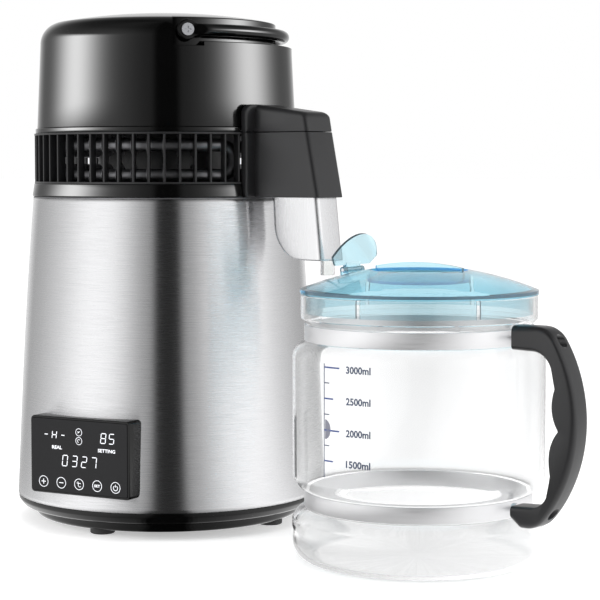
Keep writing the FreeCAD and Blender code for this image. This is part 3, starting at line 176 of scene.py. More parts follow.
def add_piece(name, patches, home, body, slot, *nodes, finish=None, sharp=SHARP, outwards=True):
    """Show patches as a piece that rides on a body and stands for CAD nodes. It wears its slot's
    own finish unless another is named."""
    mesh = make_mesh(name, patches, home, sharp, outwards)
    piece = bpy.data.objects.new(name, mesh)
    bpy.context.scene.collection.objects.link(piece)
    mesh.materials.append(FINISHES[finish or slot])
    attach(piece, body)
    if nodes:
        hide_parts(*nodes)
    print(name, len(mesh.vertices), "points on", body)
    return piece


print("edges stay crisp above", SHARP, "degrees")

# %% [markdown]
# ## Outlines
#
# Moulded and pressed pieces have no truly sharp edges: a small round catches a line of light
# along every edge, and that line is most of what makes a render look real. So an outline is a
# list of corners, each with the radius that it is rounded by.

# %% Round the corners of an outline
SIDE_SHARE = 0.49


def arc(centre, first, last, sweep, steps):
    """Points from centre + first to centre + last, two spokes of one circle that are a sweep
    apart: centre + (first sin((1 - u) sweep) + last sin(u sweep)) / sin(sweep), u from 0 to 1."""
    u = np.linspace(0, 1, steps + 1)[:, None]
    return centre + (np.sin((1 - u) * sweep) * first + np.sin(u * sweep) * last) / np.sin(sweep)


def rounded(corners, closed=True, steps=5):
    """Corner P between A and B becomes an arc of radius r that touches both sides.

    It starts r / tan(half) along each side from P, where half is half the angle at P, and its
    centre lies r / sin(half) from P. No arc takes more than SIDE_SHARE of a side.
    """
    spots = np.array([corner[:2] for corner in corners], float)
    radii = [corner[2] if len(corner) > 2 else 0.0 for corner in corners]
    line = []
    for index, (spot, radius) in enumerate(zip(spots, radii)):
        is_end = not closed and index in (0, len(spots) - 1)
        if radius == 0 or is_end:
            line.append(spot[None])
            continue
        back = spots[index - 1] - spot
        on = spots[(index + 1) % len(spots)] - spot
        back_long, on_long = np.linalg.norm(back), np.linalg.norm(on)
        back, on = back / back_long, on / on_long
        half = np.arccos(np.clip(back @ on, -1, 1)) / 2
        reach = min(radius / np.tan(half), SIDE_SHARE * back_long, SIDE_SHARE * on_long)
        middle = (back + on) / np.linalg.norm(back + on)
        centre = spot + middle * reach * np.tan(half) / np.sin(half)
        line.append(arc(centre, spot + back * reach - centre, spot + on * reach - centre,
                        np.pi - 2 * half, steps))
    return np.concatenate(line)


def strip(inner, outer, foot, top, inner_round, outer_round, steps):
    """A rectangle in (radius, height): its inner corners have one round, its outer ones another."""
    return rounded([(inner, foot, inner_round), (outer, foot, outer_round),
                    (outer, top, outer_round), (inner, top, inner_round)], steps=steps)


def bowed(start, end, radius, steps):
    """Points on the arc from start to end, its centre on the left of the way when radius > 0."""
    start, end = np.array(start, float), np.array(end, float)
    chord = end - start
    left = np.array([-chord[1], chord[0]]) / np.linalg.norm(chord)
    reach = np.sqrt(radius ** 2 - (chord @ chord) / 4)
    centre = (start + end) / 2 + left * np.copysign(reach, radius)
    first, last = start - centre, end - centre
    sweep = np.arccos(np.clip(first @ last / radius ** 2, -1, 1))
    return arc(centre, first, last, sweep, steps)


def revolved(outline, start=0.0, sweep=360.0, steps=240, closed=True):
    """Carry an outline of (radius, height) round Z: (r cos a, r sin a, z).

    A part turn ends in flat faces, made by closing the first and the last outline on its middle.
    """
    whole = sweep == 360.0
    share = np.linspace(0, 1, steps + (not whole), endpoint=not whole)
    angles = np.radians(start + sweep * share)[:, None]
    r, z = outline.T
    rings = np.stack([np.cos(angles) * r, np.sin(angles) * r,
                      np.broadcast_to(z, (len(angles), len(z)))], axis=-1)
    return patch(rings if whole else capped(rings), close_rows=whole, close_columns=closed)


print("a rounded square has", len(rounded([(0, 0, 1), (9, 0, 1), (9, 9, 1), (0, 9, 1)])), "points")

# %% [markdown]
# ## Finishes
#
# A finish is a Principled shader whose roughness and fine relief come from noise in Object
# coordinates, which are metres here, so a grain of 0.4 mm is a scale of about 2500. Three
# families cover the machine: moulded plastic with a faint orange peel, metal with brushed or
# rolled lines, and clear stuff that light goes through. The real plastics and steels are never
# quite even, and a plain colour would look like a drawing of them.

# %% Nodes shared by the finishes
NOISE_LOW, NOISE_HIGH = 0.3, 0.7


def new_finish(name, colour, roughness, **sockets):
    """A Principled material with its plain numbers on its own sockets."""
    finish = bpy.data.materials.new(name)
    finish.use_nodes = True
    shader = finish.node_tree.nodes["Principled BSDF"]
    shader.inputs["Base Color"].default_value = (*colour, 1.0)
    shader.inputs["Roughness"].default_value = roughness
    for socket, number in sockets.items():
        title = socket.replace("_", " ").title().replace("Ior", "IOR")
        shader.inputs[title].default_value = number
    return finish, finish.node_tree, shader


def noise_of(tree, scale, detail=2.0, stretch=(1.0, 1.0, 1.0)):
    """Noise in Object coordinates, scale lumps to the metre, stretched along each axis."""
    place = tree.nodes.new("ShaderNodeTexCoord")
    mapping = tree.nodes.new("ShaderNodeMapping")
    mapping.inputs["Scale"].default_value = stretch
    noise = tree.nodes.new("ShaderNodeTexNoise")
    noise.inputs["Scale"].default_value = scale
    noise.inputs["Detail"].default_value = detail
    tree.links.new(place.outputs["Object"], mapping.inputs["Vector"])
    tree.links.new(mapping.outputs["Vector"], noise.inputs["Vector"])
    return noise.outputs["Fac"]


def ramp_of(tree, source, low, high):
    """Map NOISE_LOW..NOISE_HIGH of a noise to low..high: most of a noise's values lie there."""
    spread = tree.nodes.new("ShaderNodeMapRange")
    for socket, number in (("From Min", NOISE_LOW), ("From Max", NOISE_HIGH),
                           ("To Min", low), ("To Max", high)):
        spread.inputs[socket].default_value = number
    tree.links.new(source, spread.inputs["Value"])
    return spread.outputs["Result"]


def relief(tree, shader, source, height_mm):
    """Fine relief of a height in millimetres, as a bump."""
    bump = tree.nodes.new("ShaderNodeBump")
    bump.inputs["Strength"].default_value = 1.0
    bump.inputs["Distance"].default_value = height_mm * MILLIMETRE
    tree.links.new(source, bump.inputs["Height"])
    tree.links.new(bump.outputs["Normal"], shader.inputs["Normal"])


def shades(colour, share):
    """A colour made darker and lighter by a share of itself, neither above white."""
    return np.multiply(colour, 1 - share), np.minimum(np.multiply(colour, 1 + share), 1.0)


def tinted(tree, shader, source, low, high):
    """Let the colour wander between two shades with a noise."""
    mix = tree.nodes.new("ShaderNodeMix")
    mix.data_type = "RGBA"
    mix.inputs[6].default_value = (*low, 1.0)
    mix.inputs[7].default_value = (*high, 1.0)
    tree.links.new(ramp_of(tree, source, 0.0, 1.0), mix.inputs[0])
    tree.links.new(mix.outputs[2], shader.inputs["Base Color"])


print("a noise counts from", NOISE_LOW, "to", NOISE_HIGH)


# %% The three families of finish
def plastic(name, colour, roughness, grain, depth, broad=14.0, uneven=0.1, **sockets):
    """Moulded plastic: fine orange peel, slightly uneven gloss and a whisper of colour change."""
    finish, tree, shader = new_finish(name, colour, roughness, **sockets)
    clouds = noise_of(tree, broad)
    gloss = ramp_of(tree, clouds, roughness * 0.85, roughness * 1.2)
    tree.links.new(gloss, shader.inputs["Roughness"])
    tinted(tree, shader, clouds, *shades(colour, uneven))
    relief(tree, shader, noise_of(tree, grain), depth)
    return finish


def metal(name, colour, roughness, stretch=(1.0, 1.0, 40.0), lines=60.0, depth=0.002,
          uneven=0.06, bare=1.0, **sockets):
    """Rolled or brushed metal: noise drawn out along the brushing makes its lines. The bare share
    mirrors as metal does, and the rest is dull, as on a bead-blasted face."""
    finish, tree, shader = new_finish(name, colour, roughness, metallic=bare, **sockets)
    brush = noise_of(tree, lines, 3.0, stretch)
    gloss = ramp_of(tree, brush, roughness * 0.75, roughness * 1.3)
    tree.links.new(gloss, shader.inputs["Roughness"])
    tinted(tree, shader, brush, *shades(colour, uneven))
    relief(tree, shader, brush, depth)
    return finish


def clear(name, colour, roughness, ior, depth=0.01, waves=9.0, through=1.0):
    """Clear stuff: light goes through it, slow waves in its face bend what is behind, and what
    doesn't go through scatters, as in a tinted or slightly milky moulding."""
    finish, tree, shader = new_finish(name, colour, roughness, ior=ior,
                                      transmission_weight=through)
    relief(tree, shader, noise_of(tree, waves, 0.0), depth)
    return finish


def deepened(finish, colour, density):
    """Let the body of a clear moulding swallow light too, so that it darkens where it is seen
    edgeways: what is left after a way of d metres is exp(-density * (1 - colour) * d)."""
    tree = finish.node_tree
    soak = tree.nodes.new("ShaderNodeVolumeAbsorption")
    soak.inputs["Color"].default_value = (*colour, 1.0)
    soak.inputs["Density"].default_value = density
    tree.links.new(soak.outputs["Volume"], tree.nodes["Material Output"].inputs["Volume"])
    return finish


EVEN = (1.0, 1.0, 1.0)
FINISHES = {
    "steel": metal("brushed_steel", (0.66, 0.66, 0.67), 0.27, (1.0, 1.0, 60.0), 55.0, 0.0002,
                   0.02, anisotropic=1.0, anisotropic_rotation=0.25),
    "pot_steel": metal("spun_steel", (0.22, 0.22, 0.23), 0.42),
    "cup_steel": metal("satin_cup_steel", (0.72, 0.72, 0.73), 0.3, (30.0, 30.0, 1.0),
                       uneven=0.03),
    "band_steel": metal("polished_band_steel", (0.77, 0.77, 0.78), 0.4, uneven=0.02, bare=0.7),
    "zinc": metal("zinc_plate", (0.62, 0.63, 0.66), 0.3, EVEN, 700.0),
    # The aluminium parts sit inside the head, where little light reaches, so their colour is
    # painted far darker than bare aluminium: painted shade.
    "aluminium": metal("shade_darkened_aluminium", (0.26, 0.26, 0.27), 0.5, EVEN, 500.0),
    "brass": metal("turned_brass", (0.72, 0.52, 0.24), 0.28, EVEN, 600.0),
    "black_gloss": plastic("black_gloss_plastic", (0.0015, 0.0015, 0.0015), 0.09, 120.0, 0.003,
                           ior=1.38),
    "black_satin": plastic("black_satin_plastic", (0.012, 0.012, 0.013), 0.33, 1400.0, 0.008),
    "lens_gloss": plastic("smoked_lens", (0.008, 0.008, 0.009), 0.08, 200.0, 0.002, ior=1.3),
    "rubber": plastic("foot_rubber", (0.03, 0.03, 0.03), 0.7, 2000.0, 0.03),
    "silicone": clear("clear_silicone", (0.93, 0.94, 0.93), 0.12, 1.41),
    "board_green": plastic("circuit_board", (0.02, 0.14, 0.06), 0.3, 2400.0, 0.02),
    "part_white": plastic("moulded_part", (0.78, 0.78, 0.76), 0.45, 1200.0, 0.012),
    "glass_clear": clear("jug_glass", (0.915, 0.917, 0.919), 0.0, 1.47, 0.02, through=0.96),
    "lid_blue": deepened(clear("clear_blue_plastic", (0.74, 0.93, 0.98), 0.02, 1.46, through=0.9),
                         (0.15, 0.8, 0.95), 105.0),
    "flap_blue": deepened(clear("clear_blue_flap_plastic", (0.84, 0.94, 0.97), 0.02, 1.46,
                                through=0.95), (0.15, 0.78, 0.92), 150.0),
}
for entry in frame["record"]["subparts"]:
    node = frame["nodes"][entry["node"]]
    node.data.materials.clear()
    node.data.materials.append(FINISHES[entry["material_slot"]])
print(len(FINISHES), "finishes on", len(frame["nodes"]), "solids")

# %% [markdown]
# ## Base tray and feet
#
# The tray is the black moulding under the steel: a foot ring, a step and a flare that meets the
# shell. It is a body of revolution, so its outline carried round the axis gives every surface.
# Stacked cylinders with bevels could stand for it, but they would need a union, and one outline
# keeps each round as small as on the real moulding. The feet are four small rubber discs, one
# outline turned once and then copied.

# %% Base tray
tray_outline = rounded([
    (0, 4), (100, 4, 3), (100, 9.8, 0.7), (103.5, 10.3, 1.5), (109.6, 12.2, 5), (113, 16.6, 2),
    (113, 20, 0.6), (111.9, 20, 0.2), (111.9, 26, 0.5), (109.5, 26, 0.5), (109.5, 18, 2),
    (97.6, 12.4, 2), (97.6, 6.4, 2), (0, 6.4)], closed=False)
add_piece("Base_tray", [revolved(tray_outline, closed=False)], "front", "boiler", "black_gloss",
          "base_tray")

FOOT_R, FOOT_TOP, FEET_CIRCLE = 9, 4, 89
foot_outline = rounded([(0, 0), (FOOT_R, 0, 1.2), (FOOT_R, FOOT_TOP), (0, FOOT_TOP)],
                       closed=False)
foot = moved(revolved(foot_outline, steps=48, closed=False), (FEET_CIRCLE, 0, 0))
add_piece("Feet", [copies(foot, (0, 90, 180, 270))], "front", "boiler", "rubber", "rubber_feet")

# %% [markdown]
# ## Steel shell
#
# The shell is one sheet of brushed steel, rolled into a slightly bowed cone. Its side is an arc
# of a very large circle, and the windows for the panel and the sockets are faces left out of the
# grid: a Boolean could cut them, but its slivers would show in a finish as smooth as this, and
# the panel and the sockets hide the windows' edges. Solidify gives the sheet its thickness
# inwards.

# %% Steel shell
SHELL_FOOT, SHELL_TOP, SHELL_BOW = (113.4, 20.0), (100.3, 241.5), 5150.0
PANEL_WINDOW = (-40, 40, 34, 84, -1)
INLET_WINDOW = (-15, 15, 33, 55, 1)
OUTLET_WINDOW = (-7, 7, 70, 78, 1)
SHEET = 0.8


def steel_sheet(*windows):
    """The bowed side carried round the axis, without the squares whose middle is in a window
    (x from, x to, z from, z to, side), where side is -1 in the front and +1 in the back."""
    side_line = bowed(SHELL_FOOT, SHELL_TOP, SHELL_BOW, 88)
    points, faces = revolved(side_line, steps=288, closed=False)
    x, y, z = points[faces].mean(axis=1).T
    keep = np.ones(len(faces), bool)
    for x_from, x_to, z_from, z_to, side in windows:
        keep &= ~((x > x_from) & (x < x_to) & (y * side > 0) & (z > z_from) & (z < z_to))
    return points, faces[keep][:, ::-1]


def thicken(piece):
    """Give a sheet its thickness on the side that its faces look away from."""
    wall = piece.modifiers.new("wall", "SOLIDIFY")
    wall.thickness, wall.offset = SHEET * MILLIMETRE, -1.0


thicken(add_piece("Steel_shell", [steel_sheet(PANEL_WINDOW, INLET_WINDOW, OUTLET_WINDOW)], "front",
                  "boiler", "steel", "outer_shell", outwards=False))

# %% [markdown]
# ## Touch panel
#
# The panel is a black frame that stands proud of the steel, with a smoked lens let into it. Both
# are flat outlines with round corners, stacked: each layer is the outline drawn in a little more,
# at its own depth, which gives rounded edges without any modifier.


# %% Stacked outlines
def box_outline(wide, high, radius):
    """The corners of a rectangle about the origin, rounded."""
    return rounded([(-wide, -high, radius), (wide, -high, radius), (wide, high, radius),
                    (-wide, high, radius)], steps=6)


def stacked_box(wide, high, radius, layers):
    """Rows (inset, depth): the rectangle drawn in by the inset and laid at the depth.

    The radius shrinks with the inset, so the layers stay parallel. Columns are (x, z, depth).
    """
    return np.stack([laid(box_outline(wide - inset, high - inset, max(radius - inset, 0.01)), depth)
                     for inset, depth in layers])


def facing_front(grid):
    """Turn (x, z, depth) columns to the front: (x, -depth, z + the panel's middle)."""
    return np.stack([grid[..., 0], -grid[..., 2], grid[..., 1] + PANEL_MIDDLE], axis=-1)


PANEL_MIDDLE, PANEL_WIDE, PANEL_HIGH, PANEL_ROUND = 58.75, 42.5, 27.75, 3.0
frame_grid = stacked_box(PANEL_WIDE, PANEL_HIGH, PANEL_ROUND, [
    (0, 100), (0, 116.4), (0.12, 116.8), (0.4, 117.1), (0.8, 117.2), (1.45, 117.2), (1.6, 117.1),
    (1.6, 115.9), (3.8, 115.9), (3.8, 100)])
add_piece("Panel_frame", [patch(facing_front(frame_grid), close_rows=True, close_columns=True)],
          "front", "boiler", "black_gloss", "control_housing")

LENS_INSET, LENS_ROUND = 1.7, 1.6
lens_grid = capped(stacked_box(PANEL_WIDE - LENS_INSET, PANEL_HIGH - LENS_INSET, LENS_ROUND, [
    (0, 115.95), (0, 117.35), (0.1, 117.52), (0.35, 117.62), (0.5, 117.62)]))
add_piece("Panel_lens", [patch(facing_front(lens_grid), close_columns=True)], "front", "boiler",
          "lens_gloss", "control_lens")

# %% [markdown]
# ## Marks on the panel
#
# The lit marks are thin plates a hair proud of the lens. Seven bars, switched on or off, write
# every digit; rings and bars make the touch keys; and the few words are Blender's own letters,
# turned into a mesh before they are placed, because a mesh is what the export keeps.

# %% Plates and bars
MARK_HIGH = 0.06


def plate(ring, high=MARK_HIGH):
    """A closed plate: its outline (u, v) at depth 0 and at its height, both closed."""
    return patch(capped(np.stack([laid(ring, 0.0), laid(ring, high)])), close_columns=True)


def bar(start, end, wide):
    """The outline of a straight bar with pointed ends, from start to end."""
    start, end = np.array(start, float), np.array(end, float)
    along = (end - start) / np.linalg.norm(end - start) * wide / 2
    aside = np.array([-along[1], along[0]])
    return np.array([start, start + along - aside, end - along - aside, end, end - along + aside,
                     start + along + aside])


def hoop(centre, radius, wide, start=0.0, sweep=360.0, steps=40):
    """A flat ring or a part of one: a square section turned about its centre."""
    inner, outer = radius - wide / 2, radius + wide / 2
    section = np.array([(inner, 0), (outer, 0), (outer, MARK_HIGH), (inner, MARK_HIGH)])
    return moved(revolved(section, start, sweep, steps), (*centre, 0))


print("a straight bar has", len(bar((0, 0), (1, 0), 0.5)), "corners")

# %% Digits and letters
SEGMENTS = {"a": ((-1, 2), (1, 2)), "b": ((1, 2), (1, 0)), "c": ((1, 0), (1, -2)),
            "d": ((-1, -2), (1, -2)), "e": ((-1, 0), (-1, -2)), "f": ((-1, 2), (-1, 0)),
            "g": ((-1, 0), (1, 0))}
DIGITS = {"0": "abcdef", "2": "abged", "3": "abgcd", "5": "afgcd", "7": "abc", "8": "abcdefg",
          "-": "g", "H": "bcefg"}
SEGMENT_WIDE, SEGMENT_GAP, LEAN = 0.62, 0.14, 0.12


def digit(sign, centre, wide, high):
    """Seven-bar digit: each bar is scaled from a 2 by 4 grid and leans by a share of its height."""
    plates = []
    for segment in DIGITS[sign]:
        ends = np.array(SEGMENTS[segment], float) * (wide / 2, high / 4)
        gap = (ends[1] - ends[0]) / np.linalg.norm(ends[1] - ends[0]) * SEGMENT_GAP
        ring = bar(ends[0] + gap, ends[1] - gap, SEGMENT_WIDE)
        ring[:, 0] += LEAN * ring[:, 1]
        plates.append(plate(ring + centre))
    return plates


def lettering(words, centre, wide, high, top=MARK_HIGH):
    """Letters as a closed plate, scaled to a width and a height about a centre. The offset makes
    them bolder."""
    text = bpy.data.curves.new("words", "FONT")
    text.body, text.extrude, text.resolution_u, text.offset = words, 0.5, 3, 0.028
    holder = bpy.data.objects.new("words", text)
    mesh = bpy.data.meshes.new_from_object(holder)
    mesh.calc_loop_triangles()
    points = np.empty(len(mesh.vertices) * 3)
    mesh.vertices.foreach_get("co", points)
    faces = np.empty(len(mesh.loop_triangles) * 3, int)
    mesh.loop_triangles.foreach_get("vertices", faces)
    bpy.data.objects.remove(holder)
    points = points.reshape(-1, 3)
    lowest, highest = points.min(axis=0), points.max(axis=0)
    share = (points - lowest) / (highest - lowest)
    placed = (share - (0.5, 0.5, 0)) * (wide, high, top) + (*centre, 0)
    return placed, faces.reshape(-1, 3)


print("a digit eight has", len(digit("8", (0, 0), 4, 7)), "bars")

# %% Signs on the panel
UPPER, CLOCK, KEY = 14.8, -3.2, -19.4
FIGURES = (("-", -28.5, UPPER, 3.4, 5.4), ("H", -21.4, UPPER, 3.6, 5.4),
           ("-", -14, UPPER, 3.4, 5.4), ("8", 20.7, UPPER, 4.0, 7.0),
           ("5", 27.7, UPPER, 4.0, 7.0), ("0", -12.3, CLOCK, 4.1, 7.6),
           ("3", -4.0, CLOCK, 4.1, 7.6), ("2", 4.2, CLOCK, 4.1, 7.6), ("7", 12.5, CLOCK, 4.1, 7.6))
KEYS = (-31.1, -15.7, -0.3, 15.2, 30.8)
KEY_R, KEY_LINE, LAMP_R, LAMP_LINE = 3.85, 0.42, 2.6, 0.36
LAMP_U, LAMPS_V = -0.2, (17.8, 11.6)
plus, minus, degrees, word, power = KEYS
# The plus, whose upright is two bars, the minus, the power sign's stem and the upper lamp's sign.
BARS = (((plus - 2, KEY), (plus + 2, KEY), 0.55), ((plus, KEY - 2), (plus, KEY - 0.3), 0.55),
        ((plus, KEY + 0.3), (plus, KEY + 2), 0.55), ((minus - 2, KEY), (minus + 2, KEY), 0.55),
        ((power, KEY + 0.2), (power, KEY + 2.2), 0.5), ((-1.3, 17.1), (0.9, 18.5), 0.4),
        ((-1.3, 18.5), (-0.4, 17.9), 0.4))
WORDS = (("REAL", (-19.2, 5.9), 8.6, 2.5), ("SETTING", (23.4, 6.0), 14.6, 2.5),
         ("SET", (word, KEY), 5.0, 1.9))
marks = sum([digit(sign, (u, v), wide, high) for sign, u, v, wide, high in FIGURES], [])
marks += [hoop((u, KEY), KEY_R, KEY_LINE) for u in KEYS]
marks += [hoop((LAMP_U, v), LAMP_R, LAMP_LINE) for v in LAMPS_V]
marks += [plate(bar(*ends_and_width)) for ends_and_width in BARS]
# The power sign's open ring, the degrees sign's dot and letter, and the lower lamp's curl.
marks += [hoop((power, KEY - 0.3), 1.75, 0.45, 120, 300, 30),
          hoop((degrees - 1.1, KEY + 1.1), 0.6, 0.32, steps=16),
          hoop((degrees + 0.6, KEY - 0.5), 1.3, 0.42, 45, 270, 20),
          hoop((LAMP_U, LAMPS_V[1]), 1.1, 0.36, 30, 230, 16)]
marks += [lettering(*words_and_place) for words_and_place in WORDS]
print(len(marks), "marks")

# %% Panel marks
LENS_FACE = 117.63
marks = [(facing_front(points + (0, 0, LENS_FACE)), faces) for points, faces in marks]
lit, tree, shader = new_finish("lit_marks", (0.75, 0.76, 0.78), 0.4, emission_strength=0.5,
                               emission_color=(0.9, 0.92, 1.0, 1.0))
relief(tree, shader, noise_of(tree, 3000.0), 0.002)
FINISHES["lit_marks"] = lit
add_piece("Panel_marks", marks, "front", "boiler", "part_white", finish="lit_marks")

# %% [markdown]
# ## Rings and vents of the head
#
# The head stands on a black ring, and above it fifty-two ribs between two rails let the fan's air
# out. The rings stop on both sides of the spout. A rib is one small round-cornered box, worked
# out once and copied by turning its points. An Array modifier would copy it too, but it needs a
# second object to turn about, and plain points need nothing.

# %% Head ring, collar and vent grille
SPOUT_GAP = 13.9


def broken_ring(outline):
    """An outline carried round the axis from one side of the spout to the other."""
    return revolved(outline, SPOUT_GAP, 360 - 2 * SPOUT_GAP, 230)


head_ring = rounded([(97.6, 242.6, 0.3), (101, 242.6, 0.7), (99.6, 252, 0.7), (90, 252, 0.3),
                     (90, 245.9, 0.2), (97.6, 245.9, 0.2)], steps=4)
collar = strip(88.2, 98.3, 289, 292.6, 0.2, 0.5, 4)
for name, node, outline in (("Head_ring", "head_ring", head_ring),
                            ("Collar_ring", "collar_ring", collar)):
    add_piece(name, [broken_ring(outline)], "spout", "head", "black_gloss", node)

RAIL_FEET, RAIL_HIGH = (252.0, 287.5), 1.5
RIB_FOOT, RIB_TOP, RIB_HALF = 252.2, 288.8, 0.75
RIBS, FIRST_RIB, RIB_SPAN = 52, 14.7, 330.6
rails = [broken_ring(strip(92.2, 99.3, foot, foot + RAIL_HIGH, 0.2, 0.3, 3)) for foot in RAIL_FEET]
rib_ring = strip(92.5, 99, -RIB_HALF, RIB_HALF, 0.3, 0.45, 3)
rib = capped(np.stack([laid(rib_ring, z) for z in (RIB_FOOT, RIB_TOP)]))
ribs = copies(patch(rib, close_columns=True), FIRST_RIB + RIB_SPAN * np.arange(RIBS) / (RIBS - 1))
add_piece("Vent_grille", [*rails, ribs], "spout", "head", "black_satin", "vent_grille")

# %% [markdown]
# ## Domed cap
#
# The cap is a body of revolution with a bite taken out: on one half a rebate lets the carrying
# bail lie down flush, and a deeper notch at each end holds its pivot. So the outline depends on
# the turn. Three outlines with the same number of points, the full shoulder, the rebate and the
# notch, are chosen column by column, and two columns at the same turn make each upright step. A
# Boolean could take the bite, but on a black gloss every stray facet shows, and these columns
# leave none.

# %% Outlines of the cap
CAP_FOOT, SIDE_TOP = (97, 292.6), (94.1, 355.2)
SHOULDER_TOP, CROWN_TOP, CROWN_BOW = (83.2, 370.5), (0, 378.3), 442
REBATE_IN = 78
FLOORS = {"rebate": 353.0, "notch": 350.0}


def cap_outline(kind):
    """The cap's outline from its foot over the crown to the middle, (radius, height).

    A full shoulder follows two arcs. A rebate or a notch has a floor and a wall instead, with as
    many points, so that the columns join point to point.
    """
    foot = rounded([(94.8, CAP_FOOT[1]), (*CAP_FOOT, 0.5), SIDE_TOP], closed=False, steps=4)[:-1]
    crown = bowed(SHOULDER_TOP, CROWN_TOP, CROWN_BOW, 24)
    if kind == "full":
        return np.concatenate([foot, bowed(SIDE_TOP, SHOULDER_TOP, 16, 19)[:-1], crown])
    floor = FLOORS[kind]
    lean = (CAP_FOOT[0] - SIDE_TOP[0]) / (SIDE_TOP[1] - CAP_FOOT[1])
    side = CAP_FOOT[0] - (floor - CAP_FOOT[1]) * lean
    step = rounded([(side, floor - 4), (side, floor, 0.6), (82, floor, 0.8), (82, 370.62, 0.9),
                    (REBATE_IN, 371.2)], closed=False, steps=5)[:-1]
    whole_crown = bowed(CROWN_TOP, SHOULDER_TOP, -CROWN_BOW, 60)
    crown[:, 0] *= REBATE_IN / SHOULDER_TOP[0]
    crown[:, 1] = np.interp(crown[:, 0], whole_crown[:, 0], whole_crown[:, 1])
    return np.concatenate([foot, step, crown])


full, rebate, notch = (cap_outline(kind) for kind in ("full", "rebate", "notch"))
print("outline points", len(full), len(rebate), len(notch))

# %% Domed cap
NOTCH_HALF = 6.8
cap_lining = np.array([(94.8, 292.6), (92.4, 347.4), (79.6, 347.4), (79.6, 367), (60, 370.4),
                       (0, 374.6)])
spans = [(-NOTCH_HALF, NOTCH_HALF, notch, 14), (NOTCH_HALF, 180 - NOTCH_HALF, rebate, 150),
         (180 - NOTCH_HALF, 180 + NOTCH_HALF, notch, 14),
         (180 + NOTCH_HALF, 360 - NOTCH_HALF, full, 150)]
turns = np.concatenate([np.linspace(start, end, count) for start, end, _, count in spans])
lines = np.concatenate([np.broadcast_to(line, (count, *line.shape)) for _, _, line, count in spans])


def turned_lines(turns, lines):
    """Columns (radius, height) that differ from turn to turn, carried round Z."""
    angle = np.radians(turns)[:, None]
    r, z = lines[..., 0], lines[..., 1]
    return np.stack([r * np.cos(angle), r * np.sin(angle), z], axis=-1)


add_piece("Head_cap", [patch(turned_lines(turns, lines), close_rows=True),
                       revolved(cap_lining, steps=120, closed=False)],
          "pivot", "head", "black_gloss", "head_cap")

# %% [markdown]
# ## Carrying bail
#
# The bail is a half ring of round rod whose ends are pressed flat into eyes. It is a section
# carried along a path: away from the pivots the section is a circle, and near them it turns into
# an upright flat disc. A superellipse does both, because its power says how square it is.

# %% Carrying bail
BAIL_R, ROD_R, BAIL_Z = 88, 4.3, 361.4
EYE_R, EYE_THICK, EYE_REACH = 7.5, 2.25, 86.25
PRESSED, PRESS_LONG = 3, 14


def bail_rod(stations=160, around=32):
    """Point (s, q): path(s) + outward * t(s) * cos^(2/n) q + up * h(s) * sin^(2/n) q.

    s runs in millimetres from one pivot to the other. The half thickness t, the half height h and
    the power n go from the eye's values to the rod's over PRESS_LONG as s leaves the pivot.
    """
    last = np.pi * BAIL_R
    eye = -EYE_R * np.cos(np.linspace(0, np.pi / 2, 16))
    s = np.concatenate([eye, np.linspace(0, last / 2, stations // 2)[1:]])
    s = np.concatenate([s, (last - s[::-1])[1:]])
    away = np.minimum(s, last - s)
    out = np.clip((away - PRESSED) / PRESS_LONG, 0, 1)
    out = out * out * (3 - 2 * out)
    eye_high = np.sqrt(np.maximum(EYE_R ** 2 - np.minimum(away, EYE_R - 0.1) ** 2, 0))
    rod_high = np.maximum(eye_high * (1 - out) + ROD_R * out, ROD_R)
    high = np.where(away < 0, eye_high, rod_high)[:, None]
    thick = (EYE_THICK + (ROD_R - EYE_THICK) * out)[:, None]
    reach = (EYE_REACH + (BAIL_R - EYE_REACH) * out)[:, None]
    power = (2 / (5 - 3 * out))[:, None]
    angle = (np.clip(s, 0, last) / BAIL_R)[:, None]
    over = np.where(s < 0, s, np.where(s > last, last - s, 0))[:, None]
    q = np.linspace(0, 2 * np.pi, around, endpoint=False)[None]
    cos, sin = np.cos(q), np.sin(q)
    aside = reach + thick * np.sign(cos) * np.abs(cos) ** power
    up = high * np.sign(sin) * np.abs(sin) ** power
    return capped(np.stack([aside * np.cos(angle), aside * np.sin(angle) + over, BAIL_Z + up],
                           axis=-1))


add_piece("Bail", [patch(bail_rod(), close_columns=True)], "pivot", "bail", "black_gloss",
          "bail_handle", sharp=45)

# %% [markdown]
# ## Spout
#
# The spout is a tapered box with a loose cover, joined to the head by a curved flange. Walls come
# from carrying a rounded wall section along a U-shaped path; the cover is the same U closed over
# the top. The flange is a rounded outline bent round the axis: each layer has its own radius.

# %% Spout housing
SPOUT_FOOT, SEAM, SPOUT_HALF, SPOUT_ROUND, SPOUT_WALL = 242.6, 288.8, 15, 4, 2.2
FRONT_FOOT, FRONT_SEAM = 160, 150.3
FLANGE_R, FLANGE_HALF_TURN = 103.6, 13.3
FLANGE_LAYERS = ((97.9, 3), (97.9, 0), (102.9, 0), (103.3, 0.15), (103.52, 0.5), (FLANGE_R, 1),
                 (FLANGE_R, 3))


def u_path(front, half, radius, back=99.0):
    """The spout's plan: out along one side, round the front and back along the other."""
    return rounded([(back, -half), (front, -half, radius), (front, half, radius), (back, half)],
                   closed=False, steps=7)


def spout_wall(layers):
    """A U-shaped wall. Layers are (inset from the outer face, height), outer side first. The
    front goes straight from FRONT_FOOT at the foot to FRONT_SEAM at the seam."""
    rows = []
    for inset, z in layers:
        front = FRONT_FOOT + (z - SPOUT_FOOT) * (FRONT_SEAM - FRONT_FOOT) / (SEAM - SPOUT_FOOT)
        plan = u_path(front - inset, SPOUT_HALF - inset, max(SPOUT_ROUND - inset, 0.6))
        rows.append(laid(plan, z))
    return np.stack(rows)


